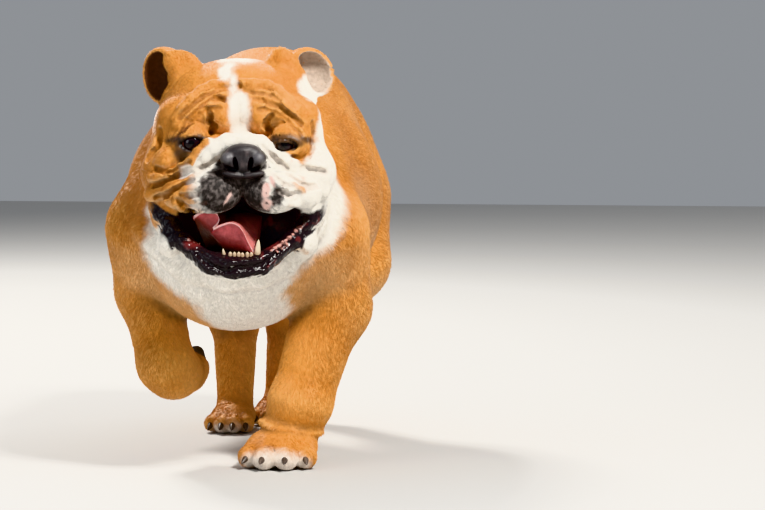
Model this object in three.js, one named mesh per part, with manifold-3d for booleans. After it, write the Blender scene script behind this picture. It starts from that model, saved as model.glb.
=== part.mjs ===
// English bulldog at a run, life size, in millimetres.
// It faces -Y, its own left is +X, +Z is up and the floor is z = 0.
import * as THREE from "three";
import { toCreasedNormals } from "three/addons/utils/BufferGeometryUtils.js";
import Module from "manifold-3d";

const wasm = await Module();
wasm.setup();

// Driving dimensions
const GAP = 0.3; // clear space between neighbouring nodes
const CREASE = 40; // degrees between facets from which an edge shows
const HEAD_AT = [12, -85, 333]; // point midway between the eyes' height and the ears' plane
const HEAD_YAW = 6.5; // degrees the nose is turned towards the dog's left
const MUZZLE_SWING = 8; // how far the nose stands towards the dog's left of the middle of the cheeks
const SWING_FROM = 40; // how far in front of HEAD_AT the muzzle begins to swing
const SWING_OVER = 70; // and over what depth it does so
const NECK_SOFT = 40; // how wide the neck flows into the trunk
const NAPE_SOFT = 10; // how wide the head flows into the neck
const LEG_SOFT = [3, 20, 110, 200]; // blend of the legs at the paw, at the shoulder, and the heights between
const EYE_RADIUS = 12;
const LEFT_EYE_AT = [47, -75, -1];
const RIGHT_EYE_AT = [-42.5, -77, 1];
// Size of the lattice each skin starts from, and the triangles it is thinned down to
const HEAD_CELL = 6;
const HEAD_FACETS = 2350;
const FACE_CELL = 4;
const NOSE_FACETS = 150;
const EAR_FACETS = 320;
const JAW_FACETS = 380;
const TONGUE_FACETS = 140;
const TRUNK_CELL = 14;
const TRUNK_FACETS = 1240;
const NECK_CELL = 12;
const NECK_FACETS = 1100;
const LEG_CELL = 9;
const UPPER_FACETS = 520;
const LEG_FACETS = 480;
const PAW_CELL = 6;
const PAW_FACETS = 480;
const TAIL_FACETS = 110;

const radians = (degrees) => (degrees * Math.PI) / 180;

function turnAxes([aboutX, aboutY, aboutZ]) {
  const turn = new THREE.Matrix4().makeRotationFromEuler(
    new THREE.Euler(radians(aboutX), radians(aboutY), radians(aboutZ), "ZYX"),
  );
  const e = turn.elements;
  return [
    [e[0], e[1], e[2]],
    [e[4], e[5], e[6]],
    [e[8], e[9], e[10]],
  ];
}

// An egg is an ellipsoid and a limb is a tapered rod with round ends.
// Each is joined to the ones before it over the width `soft`.
const egg = (name, at, radii, turn, soft) => ({ kind: "egg", name, at, radii, axes: turnAxes(turn), soft });
const limb = (name, a, b, ra, rb, soft) => ({ kind: "limb", name, a, b, ra, rb, soft });
const cut = (mass) => ({ ...mass, cut: true });
// A leaf is a thin bowl: an egg's shell with the part beyond a plane taken away.
const leaf = (name, at, radii, turn, thickness, opening, depth) => {
  const length = Math.hypot(...opening);
  return {
    kind: "leaf",
    name,
    at,
    radii,
    axes: turnAxes(turn),
    thickness,
    opening: opening.map((c) => c / length),
    depth,
    soft: 0,
  };
};

const TRUNK = [
  egg("ribcage", [0, 106, 262], [136, 158, 127], [0, 0, 0], 0),
  egg("forechest", [0, -26, 228], [100, 82, 94], [0, 0, 0], 40),
  egg("withers", [0, 40, 322], [72, 92, 68], [0, 0, 0], 44),
  egg("shoulder blade", [78, 4, 262], [46, 70, 82], [0, -14, 0], 24),
  egg("loin", [0, 212, 328], [92, 116, 92], [0, 0, 0], 50),
  egg("croup", [0, 278, 316], [90, 76, 82], [0, 0, 0], 40),
  egg("belly", [0, 188, 236], [94, 106, 64], [0, 0, 0], 40),
  egg("thigh", [66, 278, 252], [52, 80, 90], [-12, 0, 0], 30),
];
const NECK = [
  limb("nape", [4, 20, 312], [9, -84, 318], 84, 72, 0),
  egg("throat", [10, -88, 254], [74, 52, 64], [0, 0, 0], 30),
  egg("ruff", [12, -70, 270], [96, 34, 84], [12, 0, 0], 20),
];
const LEFT_FORELEG = [
  limb("upper arm", [94, -30, 236], [98, 8, 160], 44, 38, 0),
  limb("forearm", [92, 0, 158], [66, -18, 66], 38, 33, 20),
  limb("elbow", [104, 24, 156], [102, 26, 140], 20, 17, 18),
  limb("wrist", [64, -20, 60], [55, -24, 34], 33, 30, 14),
  egg("wrist roll", [55, -21, 38], [36, 34, 9], [0, 10, 0], 8),
  egg("paw", [48, -36, 19], [38, 40, 22], [0, 0, 0], 8),
];
const RIGHT_FORELEG = [
  limb("upper arm", [-92, -34, 240], [-94, 4, 176], 42, 36, 0),
  limb("forearm", [-92, 2, 172], [-72, -32, 102], 34, 30, 20),
  limb("carpus", [-72, -32, 102], [-64, -24, 92], 29, 27, 12),
  limb("metacarpus", [-66, -22, 92], [-58, 8, 90], 27, 25, 12),
];
const RIGHT_HINDLEG = [
  limb("thigh", [-70, 270, 250], [-84, 228, 192], 56, 46, 0),
  limb("shin", [-84, 232, 186], [-56, 322, 122], 44, 29, 25),
  limb("hock", [-56, 322, 124], [-54, 334, 112], 25, 23, 16),
  limb("metatarsus", [-53, 322, 112], [-48, 286, 34], 27, 22, 12),
  egg("paw", [-47, 268, 15], [26, 36, 18], [0, 0, 0], 12),
];
const LEFT_HINDLEG = [
  limb("thigh", [68, 270, 250], [80, 244, 190], 56, 46, 0),
  limb("shin", [78, 248, 184], [4, 368, 120], 44, 29, 25),
  limb("hock", [4, 368, 124], [0, 376, 112], 25, 23, 16),
  limb("metatarsus", [0, 371, 112], [-6, 358, 34], 26, 21, 12),
  egg("paw", [-8, 342, 15], [26, 36, 18], [0, 0, 0], 12),
];
const TAIL = [
  limb("root", [0, 326, 326], [2, 360, 306], 22, 15, 0),
  limb("tip", [2, 360, 306], [-6, 370, 280], 14, 8, 8),
];

// Toes: [across, forward] of each toe's tip from the middle of the paw
const LEFT_FORE_TOES = [[-28, -58], [-11, -72], [11, -72], [29, -58]];
const HIND_TOES = [[-18, -44], [-6, -54], [6, -54], [18, -44]];
const LIFTED_TOES = [-21, -7, 7, 21];
LEFT_FORE_TOES.forEach(([dx, dy]) => {
  LEFT_FORELEG.push(limb("toe", [49 + dx * 0.7, -40, 20], [47 + dx, -8 + dy, 12], 15, 14, 7));
});
LIFTED_TOES.forEach((dx) => {
  const knuckle = [-58 + dx * 0.6, 10, 90 + dx * 0.2];
  RIGHT_FORELEG.push(limb("toe", knuckle, [-62 + dx * 0.5, 38, 97 + dx * 0.4], 13, 11, 6));
});
HIND_TOES.forEach(([dx, dy]) => {
  RIGHT_HINDLEG.push(limb("toe", [-47 + dx * 0.7, 262, 15], [-47 + dx, 278 + dy, 10], 11, 11.5, 4));
  LEFT_HINDLEG.push(limb("toe", [-8 + dx * 0.7, 334, 15], [-8 + dx, 350 + dy, 10], 11, 11.5, 4));
});

// The head is given from HEAD_AT before its turn, and each mass stands on both sides of x = 0.
const SKULL = [
  egg("cranium", [0, 0, 34], [78, 66, 50], [0, 0, 0], 0),
  egg("brow", [36, -54, 29], [42, 24, 22], [0, 0, 0], 14),
  egg("temple", [60, -30, 2], [27, 38, 40], [0, 0, 0], 20),
  egg("cheek", [64, -46, -30], [34, 38, 33], [0, 0, 0], 14),
  egg("muzzle", [0, -76, -26], [46, 34, 36], [0, 0, 0], 14),
  egg("jaw hinge", [60, -34, -70], [29, 38, 30], [0, 0, 0], 20),
  egg("gullet", [0, -44, -92], [54, 44, 38], [0, 0, 0], 20),
  cut(egg("stop", [0, -104, 22], [16, 20, 22], [0, 0, 0], 14)),
  cut(egg("mouth", [0, -90, -84], [74, 44, 38], [0, 0, 0], 6)),
  egg("flew", [30, -98, -45], [31, 22, 23], [0, 0, 0], 7),
  egg("flew side", [56, -84, -46], [24, 20, 18], [0, 16, 0], 7),
  egg("eye lids", [48, -73, 0], [20, 18, 16], [0, 0, 0], 6),
  cut(limb("philtrum", [0, -125, -36], [0, -122, -66], 2, 4, 5)),
];
// The fold over the nose, as places along its middle; the dog's right side hangs lower
const NOSE_ROLL = [];
const ROLL_PLACES = [
  [-84, -66, -50], [-72, -74, -43], [-61, -81, -36], [-49, -89, -28], [-38, -95, -18],
  [-29, -98.5, -9.5], [-20, -100.5, -2.5], [-8, -102, 3.5], [9, -102.5, 5], [24.5, -101, 1.5],
  [38.4, -96, -9.5], [51.4, -89, -22], [64, -81, -34], [74, -74, -40], [84, -66, -46],
];
ROLL_PLACES.slice(1).forEach((end, n) => NOSE_ROLL.push(limb("nose roll", ROLL_PLACES[n], end, 8.5, 8.5, 3)));
const JAW = [
  limb("jaw side", [80, -50, -64], [53, -80, -96], 9, 9, 0),
  limb("jaw front", [53, -80, -96], [24, -100, -118], 9, 10.5, 6),
  limb("chin", [24, -100, -118], [0, -104, -122], 10.5, 11.5, 6),
  egg("jaw floor", [0, -66, -118], [46, 42, 13], [-8, 0, 0], 10),
];
const NOSE = [
  egg("nose pad", [0, -110, -16], [22, 14, 16], [0, 0, 0], 0),
  cut(limb("nostril", [8, -126, -16], [17, -123, -23], 4.5, 3.5, 2)),
];
const TONGUE = [
  egg("tongue root", [2, -70, -96], [30, 34, 12], [0, 0, 0], 0),
  limb("left curl", [-32, -84, -76], [-14, -92, -90], 8, 8, 8),
  limb("right curl", [-14, -92, -90], [12, -92, -100], 8, 9, 8),
];
const RIGHT_EAR = [
  leaf("ear cup", [-77, 2, 64], [24, 19, 27], [0, 20, 0], 5.5, [-0.62, -0.78, -0.12], 3),
  egg("front flap", [-54, -10, 74], [22, 6, 15], [0, 28, 0], 7),
  egg("burr", [-52, 2, 62], [20, 16, 16], [0, 0, 0], 8),
];
const LEFT_EAR = [
  leaf("ear cup", [73, 4, 68], [27, 17, 21], [0, 24, 0], 5.5, [0.5, -0.85, 0.1], 3),
  egg("front flap", [42, -9, 74], [17, 6, 20], [0, -16, 0], 7),
  egg("burr", [50, 2, 62], [18, 16, 16], [0, 0, 0], 8),
];

// Distance fields
function eggDistance(m, p) {
  const dx = p[0] - m.at[0];
  const dy = p[1] - m.at[1];
  const dz = p[2] - m.at[2];
  let k0 = 0;
  let k1 = 0;
  for (let a = 0; a < 3; a += 1) {
    const axis = m.axes[a];
    const q = dx * axis[0] + dy * axis[1] + dz * axis[2];
    const r = m.radii[a];
    k0 += (q * q) / (r * r);
    k1 += (q * q) / (r * r * r * r);
  }
  k0 = Math.sqrt(k0);
  return (k0 * (k0 - 1)) / Math.max(Math.sqrt(k1), 1e-9);
}

function limbDistance(m, p) {
  const along = [m.b[0] - m.a[0], m.b[1] - m.a[1], m.b[2] - m.a[2]];
  const from = [p[0] - m.a[0], p[1] - m.a[1], p[2] - m.a[2]];
  const dot = from[0] * along[0] + from[1] * along[1] + from[2] * along[2];
  const t = Math.min(1, Math.max(0, dot / (along[0] ** 2 + along[1] ** 2 + along[2] ** 2)));
  const away = Math.hypot(from[0] - t * along[0], from[1] - t * along[1], from[2] - t * along[2]);
  return away - (m.ra + (m.rb - m.ra) * t);
}

function join(a, b, soft) {
  const h = Math.max(soft - Math.abs(a - b), 0) / Math.max(soft, 1e-6);
  return Math.min(a, b) - (h * h * soft) / 4;
}

const carve = (a, b, soft) => -join(-a, b, soft);

function leafDistance(m, p) {
  const shell = Math.abs(eggDistance(m, p)) - m.thickness / 2;
  const toOpening =
    (p[0] - m.at[0]) * m.opening[0] + (p[1] - m.at[1]) * m.opening[1] + (p[2] - m.at[2]) * m.opening[2];
  return carve(shell, m.depth - toOpening, 3);
}

const DISTANCE = { egg: eggDistance, limb: limbDistance, leaf: leafDistance };

function heap(masses, p, start = Infinity) {
  let d = start;
  for (const m of masses) {
    const e = DISTANCE[m.kind](m, p);
    if (m.cut) d = carve(d, e, m.soft);
    else d = d === Infinity ? e : join(d, e, m.soft);
  }
  return d;
}

const YAW_COS = Math.cos(radians(HEAD_YAW));
const YAW_SIN = Math.sin(radians(HEAD_YAW));
function headSpace(p) {
  const x = p[0] - HEAD_AT[0];
  const y = p[1] - HEAD_AT[1];
  return [x * YAW_COS + y * YAW_SIN, -x * YAW_SIN + y * YAW_COS, p[2] - HEAD_AT[2]];
}
function fromHead(q) {
  return [
    HEAD_AT[0] + q[0] * YAW_COS - q[1] * YAW_SIN,
    HEAD_AT[1] + q[0] * YAW_SIN + q[1] * YAW_COS,
    HEAD_AT[2] + q[2],
  ];
}
const bothSides = (p) => [Math.abs(p[0]), p[1], p[2]];
function swung([x, y, z]) {
  const share = Math.min(1, Math.max(0, (-y - SWING_FROM) / SWING_OVER));
  return [x - MUZZLE_SWING * share, y, z];
}
const facePlace = (q) => bothSides(swung(q));

function legSoft(z) {
  const [low, high, from, to] = LEG_SOFT;
  return low + (high - low) * Math.min(1, Math.max(0, (z - from) / (to - from)));
}

const LEGS = [LEFT_FORELEG, RIGHT_FORELEG, LEFT_HINDLEG, RIGHT_HINDLEG];
function torso(p) {
  let d = heap(TRUNK, bothSides(p));
  d = join(d, heap(NECK, p), NECK_SOFT);
  for (const leg of LEGS) d = join(d, heap(leg, p), legSoft(p[2]));
  const q = headSpace(p);
  return join(d, heap(NOSE_ROLL, q, heap(SKULL, facePlace(q))), NAPE_SOFT);
}
const inHead = (masses) => (p) => heap(masses, headSpace(p));

// A closed skin of facets about `cell` wide over the zero of a field, inside a box
function skinOf(field, low, high, cell) {
  const count = low.map((l, a) => Math.ceil((high[a] - l) / cell) + 1);
  const [nx, ny, nz] = count;
  const at = (i, j, k) => (i * ny + j) * nz + k;
  const value = new Float64Array(nx * ny * nz);
  const place = (i, j, k) => [low[0] + i * cell, low[1] + j * cell, low[2] + k * cell];
  for (let i = 0; i < nx; i += 1) {
    for (let j = 0; j < ny; j += 1) {
      for (let k = 0; k < nz; k += 1) {
        const rim = i === 0 || j === 0 || k === 0 || i === nx - 1 || j === ny - 1 || k === nz - 1;
        const d = field(place(i, j, k));
        value[at(i, j, k)] = rim ? Math.max(d, cell / 4) : d;
      }
    }
  }
  openChecks(value, count, at);
  const corners = [0, 1, 2, 3, 4, 5, 6, 7].map((n) => [n & 1, (n >> 1) & 1, n >> 2]);
  const vertexOf = new Int32Array(nx * ny * nz).fill(-1);
  const points = [];
  for (let i = 0; i < nx - 1; i += 1) {
    for (let j = 0; j < ny - 1; j += 1) {
      for (let k = 0; k < nz - 1; k += 1) {
        const sum = [0, 0, 0];
        let hits = 0;
        for (const c of corners) {
          for (let a = 0; a < 3; a += 1) {
            if (c[a]) continue;
            const e = [...c];
            e[a] = 1;
            const v0 = value[at(i + c[0], j + c[1], k + c[2])];
            const v1 = value[at(i + e[0], j + e[1], k + e[2])];
            if (v0 < 0 === v1 < 0) continue;
            const crossing = place(i + c[0], j + c[1], k + c[2]);
            crossing[a] += (cell * v0) / (v0 - v1);
            for (let b = 0; b < 3; b += 1) sum[b] += crossing[b];
            hits += 1;
          }
        }
        if (!hits) continue;
        vertexOf[at(i, j, k)] = points.length;
        points.push(ontoSurface(field, sum.map((s) => s / hits), cell));
      }
    }
  }
  const triangles = [];
  const step = [at(1, 0, 0), at(0, 1, 0), at(0, 0, 1)];
  for (let a = 0; a < 3; a += 1) {
    const sb = step[(a + 1) % 3];
    const sc = step[(a + 2) % 3];
    for (let n = 0; n + step[a] < value.length; n += 1) {
      const inside = value[n] < 0;
      if (inside === value[n + step[a]] < 0) continue;
      const ring = [n, n - sb, n - sb - sc, n - sc].map((m) => vertexOf[m]);
      if (!inside) ring.reverse();
      const long = (p, q) => Math.hypot(...[0, 1, 2].map((b) => points[ring[p]][b] - points[ring[q]][b]));
      const order = long(0, 2) <= long(1, 3) ? [0, 1, 2, 0, 2, 3] : [1, 2, 3, 1, 3, 0];
      triangles.push(...order.map((o) => ring[o]));
    }
  }
  return { points, triangles };
}

// Fills lattice squares whose corners go in and out like a chequerboard, so the skin has no pinched edges.
function openChecks(value, count, at) {
  let changed = true;
  while (changed) {
    changed = false;
    for (let i = 0; i < count[0]; i += 1) {
      for (let j = 0; j < count[1]; j += 1) {
        for (let k = 0; k < count[2]; k += 1) {
          for (let a = 0; a < 3; a += 1) {
            const b = [0, 0, 0];
            const c = [0, 0, 0];
            b[(a + 1) % 3] = 1;
            c[(a + 2) % 3] = 1;
            if (i + b[0] + c[0] >= count[0] || j + b[1] + c[1] >= count[1] || k + b[2] + c[2] >= count[2]) {
              continue;
            }
            const square = [
              at(i, j, k),
              at(i + b[0], j + b[1], k + b[2]),
              at(i + b[0] + c[0], j + b[1] + c[1], k + b[2] + c[2]),
              at(i + c[0], j + c[1], k + c[2]),
            ];
            const signs = square.map((n) => value[n] < 0);
            if (signs[0] !== signs[2] || signs[1] !== signs[3] || signs[0] === signs[1]) continue;
            const outside = square.filter((n) => value[n] >= 0);
            const nearest = value[outside[0]] < value[outside[1]] ? outside[0] : outside[1];
            value[nearest] = -1e-3;
            changed = true;
          }
        }
      }
    }
  }
}

function slope(field, p) {
  const h = 0.5;
  return [0, 1, 2].map((a) => {
    const ahead = [...p];
    const behind = [...p];
    ahead[a] += h;
    behind[a] -= h;
    return (field(ahead) - field(behind)) / (2 * h);
  });
}

function ontoSurface(field, start, cell) {
  const p = [...start];
  for (let round = 0; round < 3; round += 1) {
    const g = slope(field, p);
    const steep = g[0] ** 2 + g[1] ** 2 + g[2] ** 2;
    if (steep < 0.05) break;
    const away = field(p) / steep;
    for (let a = 0; a < 3; a += 1) p[a] -= Math.max(-cell / 4, Math.min(cell / 4, away * g[a]));
  }
  return p.map((v, a) => Math.max(start[a] - cell / 2, Math.min(start[a] + cell / 2, v)));
}

// How badly a point fits the planes gathered in a quadric
function misfit(q, [x, y, z]) {
  return (
    q[0] * x * x + 2 * q[1] * x * y + 2 * q[2] * x * z + 2 * q[3] * x +
    q[4] * y * y + 2 * q[5] * y * z + 2 * q[6] * y +
    q[7] * z * z + 2 * q[8] * z + q[9]
  );
}

const minus = (p, q) => [p[0] - q[0], p[1] - q[1], p[2] - q[2]];
const cross = (p, q) => [p[1] * q[2] - p[2] * q[1], p[2] * q[0] - p[0] * q[2], p[0] * q[1] - p[1] * q[0]];
const dot = (p, q) => p[0] * q[0] + p[1] * q[1] + p[2] * q[2];

const PASS_SHARE = 0.12; // share of the edges looked at in one pass
const LENGTH_WEIGHT = 1e-4; // how much a long edge costs beside its misfit
const LEAST_TURN = 0.35; // cosine of the most a facet may turn
// Folds short and flat edges away until `target` triangles are left, keeping the skin closed
function thinned(skin, target) {
  const points = skin.points.map((p) => [...p]);
  const faces = [];
  for (let n = 0; n < skin.triangles.length; n += 3) faces.push(skin.triangles.slice(n, n + 3));
  const around = points.map(() => new Set());
  const quadrics = points.map(() => new Array(10).fill(0));
  faces.forEach((face, f) => {
    const [a, b, c] = face.map((v) => points[v]);
    const n = cross(minus(b, a), minus(c, a));
    const area = Math.hypot(...n) || 1e-12;
    const [x, y, z] = n.map((v) => v / area);
    const d = -dot([x, y, z], a);
    const plane = [x * x, x * y, x * z, x * d, y * y, y * z, y * d, z * z, z * d, d * d];
    for (const v of face) {
      around[v].add(f);
      plane.forEach((term, k) => {
        quadrics[v][k] += term * area;
      });
    }
  });
  const neighbours = (v) => new Set([...around[v]].flatMap((f) => faces[f]).filter((w) => w !== v));
  let left = faces.length;
  while (left > target) {
    const edges = [];
    points.forEach((p, u) => {
      for (const v of neighbours(u)) {
        if (v < u) continue;
        const sum = quadrics[u].map((term, k) => term + quadrics[v][k]);
        const middle = p.map((c, a) => (c + points[v][a]) / 2);
        const best = [middle, p, points[v]].map((at) => [misfit(sum, at), at]).sort((m, n) => m[0] - n[0])[0];
        const length = Math.hypot(...minus(p, points[v]));
        edges.push({ u, v, sum, at: best[1], cost: best[0] + LENGTH_WEIGHT * length ** 3 });
      }
    });
    edges.sort((m, n) => m.cost - n.cost);
    const touched = new Set();
    const before = left;
    for (const { u, v, sum, at } of edges.slice(0, Math.ceil(edges.length * PASS_SHARE))) {
      if (left <= target) break;
      if (touched.has(u) || touched.has(v)) continue;
      const nu = neighbours(u);
      const nv = neighbours(v);
      if ([...nu].filter((w) => nv.has(w)).length !== 2) continue;
      const flips = [u, v].some((end) =>
        [...around[end]].some((f) => {
          if (faces[f].includes(u) && faces[f].includes(v)) return false;
          const [a, b, c] = faces[f].map((w) => points[w]);
          const [d, e, g] = faces[f].map((w) => (w === end ? at : points[w]));
          const was = cross(minus(b, a), minus(c, a));
          const is = cross(minus(e, d), minus(g, d));
          return dot(was, is) < LEAST_TURN * Math.hypot(...was) * Math.hypot(...is);
        }),
      );
      if (flips) continue;
      for (const f of [...around[v]]) {
        if (faces[f].includes(u)) {
          for (const w of faces[f]) around[w].delete(f);
          faces[f] = [];
          left -= 1;
        } else {
          faces[f] = faces[f].map((w) => (w === v ? u : w));
          around[u].add(f);
        }
      }
      around[v].clear();
      points[u] = [...at];
      quadrics[u] = sum;
      for (const w of [...nu, ...nv, u, v]) touched.add(w);
    }
    if (left === before) break;
  }
  const used = points.map((p, v) => around[v].size > 0);
  const rank = [];
  let next = 0;
  used.forEach((keep, v) => {
    rank[v] = keep ? next : -1;
    if (keep) next += 1;
  });
  return { points: points.filter((p, v) => used[v]), triangles: faces.flat().map((v) => rank[v]) };
}

function solidOf({ points, triangles }) {
  return new wasm.Manifold(
    new wasm.Mesh({
      numProp: 3,
      vertProperties: new Float32Array(points.flat()),
      triVerts: new Uint32Array(triangles),
    }),
  );
}

// The same facets pushed out by the gap, to cut a neighbour with
function swollen({ points, triangles }, field, by = GAP) {
  const moved = points.map((p) => {
    const g = slope(field, p);
    const length = Math.max(Math.hypot(...g), 1e-3);
    return p.map((v, a) => v + (by * g[a]) / length);
  });
  return solidOf({ points: moved, triangles });
}

function shapeSolid(geometry) {
  const position = geometry.attributes.position;
  const keys = new Map();
  const points = [];
  const ids = [];
  for (let n = 0; n < position.count; n += 1) {
    const p = [position.getX(n), position.getY(n), position.getZ(n)];
    const key = p.map((v) => Math.round(v * 1e3)).join();
    if (!keys.has(key)) {
      keys.set(key, points.length);
      points.push(p);
    }
    ids.push(keys.get(key));
  }
  const index = geometry.index ? Array.from(geometry.index.array) : [...ids.keys()];
  const triangles = [];
  for (let n = 0; n < index.length; n += 3) {
    const [a, b, c] = [0, 1, 2].map((m) => ids[index[n + m]]);
    if (a !== b && b !== c && a !== c) triangles.push(a, b, c);
  }
  return solidOf({ points, triangles });
}

// Everything on the side of a plane that its normal points to
const FAR = 2000;
function beyond(point, normal, shift = 0) {
  const n = new THREE.Vector3(...normal).normalize();
  const box = new THREE.BoxGeometry(FAR, FAR, FAR);
  box.translate(0, 0, FAR / 2 + shift);
  box.applyQuaternion(new THREE.Quaternion().setFromUnitVectors(new THREE.Vector3(0, 0, 1), n));
  box.translate(...point);
  return shapeSolid(box);
}
const within = (solid, ...planes) =>
  planes.reduce((kept, [point, normal]) => kept.intersect(beyond(point, normal, GAP / 2)), solid);
const larger = (a, b) => (b.volume() > a.volume() ? b : a);
const largest = (solid) => solid.decompose().reduce(larger);

function blockSolid(low, high) {
  const box = new THREE.BoxGeometry(high[0] - low[0], high[1] - low[1], high[2] - low[2]);
  box.translate(...low.map((l, a) => (l + high[a]) / 2));
  return shapeSolid(box);
}

const group = new THREE.Group();
group.name = "english_bulldog";
const FAWN = [0xb5682c, 0.85];
const WHITE = [0xe8dccb, 0.85];
const BLACK = [0x1d1816, 0.45];
const PINK = [0xc2686c, 0.5];
const EYE = [0x22120a, 0.1];
const CLAW = [0x3b302a, 0.5];

function addNode(name, solid, [color, roughness]) {
  const mesh = solid.getMesh();
  const geometry = new THREE.BufferGeometry();
  const flat = new Float32Array(mesh.triVerts.length * 3);
  mesh.triVerts.forEach((v, n) => {
    for (let a = 0; a < 3; a += 1) flat[n * 3 + a] = mesh.vertProperties[v * mesh.numProp + a];
  });
  geometry.setAttribute("position", new THREE.BufferAttribute(flat, 3));
  const shaded = toCreasedNormals(geometry, radians(CREASE));
  const node = new THREE.Mesh(shaded, new THREE.MeshStandardMaterial({ color, roughness, metalness: 0 }));
  node.name = name;
  group.add(node);
}

// Planes the nodes meet at: a point on each and the way it faces
const HEAD_PLANE = [[12, -25, 400], [0.1, -0.92, 0.39]];
const NECK_PLANE = [[0, -14, 390], [0, -0.876, 0.482]];
const FLOOR = [[0, 0, 0], [0, 0, 1]];
const opposite = ([point, normal]) => [point, normal.map((c) => -c)];

// Room round each of the torso's and head's parts: its lowest and highest corner
const ROOM = {
  trunk: [[-160, -150, 120], [162, 380, 440]],
  neck: [[-150, -160, 150], [162, 60, 440]],
  head: [[-110, -225, 175], [130, 0, 440]],
  nose: [[-30, -225, 280], [45, -160, 350]],
  jaw: [[-100, -220, 170], [130, -90, 300]],
  tongue: [[-60, -210, 200], [60, -90, 280]],
  rightEar: [[-105, -130, 370], [-10, -50, 440]],
  leftEar: [[10, -125, 370], [130, -50, 440]],
  tail: [[-40, 300, 260], [40, 390, 360]],
};

// Trunk, neck and head
const trunkSkin = thinned(skinOf(torso, ...ROOM.trunk, TRUNK_CELL), TRUNK_FACETS);
const neckSkin = thinned(skinOf(torso, ...ROOM.neck, NECK_CELL), NECK_FACETS);
const headSkin = thinned(skinOf(torso, ...ROOM.head, HEAD_CELL), HEAD_FACETS);
const headWhole = within(solidOf(headSkin), HEAD_PLANE, NECK_PLANE);

const noseField = (p) => heap(NOSE, facePlace(headSpace(p)));
const noseSkin = thinned(skinOf(noseField, ...ROOM.nose, FACE_CELL), NOSE_FACETS);
const jawField = (p) => heap(JAW, bothSides(headSpace(p)));
const jawSkin = thinned(skinOf(jawField, ...ROOM.jaw, FACE_CELL), JAW_FACETS);
const tongueField = inHead(TONGUE);
const tongueSkin = thinned(skinOf(tongueField, ...ROOM.tongue, FACE_CELL), TONGUE_FACETS);

function eyeShape(at, radii) {
  const ball = new THREE.SphereGeometry(1, 12, 8);
  ball.rotateX(-Math.PI / 2);
  ball.scale(...radii);
  ball.translate(...fromHead(at));
  return shapeSolid(ball);
}
const LID_RADII = [14, 24, 8]; // lens-shaped opening between the lids
const ballRadii = (r) => [r, r, r];
let head = headWhole;
for (const at of [LEFT_EYE_AT, RIGHT_EYE_AT]) {
  head = head.subtract(eyeShape(at, ballRadii(EYE_RADIUS + GAP)));
  head = head.subtract(eyeShape(at, LID_RADII));
}
const headSwollen = within(swollen(headSkin, torso), HEAD_PLANE);
head = head.subtract(swollen(noseSkin, noseField));
addNode("head", head, FAWN);
addNode("nose", solidOf(noseSkin), BLACK);
addNode("left_eye", eyeShape(LEFT_EYE_AT, ballRadii(EYE_RADIUS)), EYE);
addNode("right_eye", eyeShape(RIGHT_EYE_AT, ballRadii(EYE_RADIUS)), EYE);

function addEar(name, masses, room) {
  const skin = thinned(skinOf(inHead(masses), ...room, FACE_CELL), EAR_FACETS);
  addNode(name, largest(solidOf(skin).subtract(headSwollen)), FAWN);
}
addEar("right_ear", RIGHT_EAR, ROOM.rightEar);
addEar("left_ear", LEFT_EAR, ROOM.leftEar);

// Lower jaw with its teeth, and the tongue
const TEETH_MIDDLE = 5; // the row stands a little to the dog's left
const INCISORS = [-10.5, -6.3, -2.1, 2.1, 6.3, 10.5];
const INCISOR = { back: -105, foot: -116, radius: 2.6, height: 13 };
const CANINE = { across: 16, back: -101, foot: -116, radius: 4, height: 20 };
function toothSolid(across, { back, foot, radius, height }, grown = 0) {
  const cone = new THREE.ConeGeometry(radius + grown, height + grown, 6);
  cone.rotateX(Math.PI / 2);
  cone.translate(...fromHead([TEETH_MIDDLE + across, back, foot + height / 2]));
  return shapeSolid(cone);
}
const teeth = (grown) => [
  ...INCISORS.map((x) => toothSolid(x, INCISOR, grown)),
  ...[-1, 1].map((side) => toothSolid(side * CANINE.across, CANINE, grown)),
];
let jaw = teeth(0).reduce((whole, tooth) => whole.add(tooth), solidOf(jawSkin));
jaw = jaw.subtract(headSwollen);
const neckBehindHead = within(solidOf(neckSkin), opposite(HEAD_PLANE), NECK_PLANE);
addNode("lower_jaw", largest(jaw), BLACK);
const jawSwollen = swollen(jawSkin, jawField);
const tongueOnly = solidOf(tongueSkin).subtract(headSwollen).subtract(jawSwollen);
const tongue = teeth(2 * GAP).reduce((whole, tooth) => whole.subtract(tooth), tongueOnly);
addNode("tongue", tongue, PINK);
addNode("neck", neckBehindHead.subtract(jawSwollen), WHITE);

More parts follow.
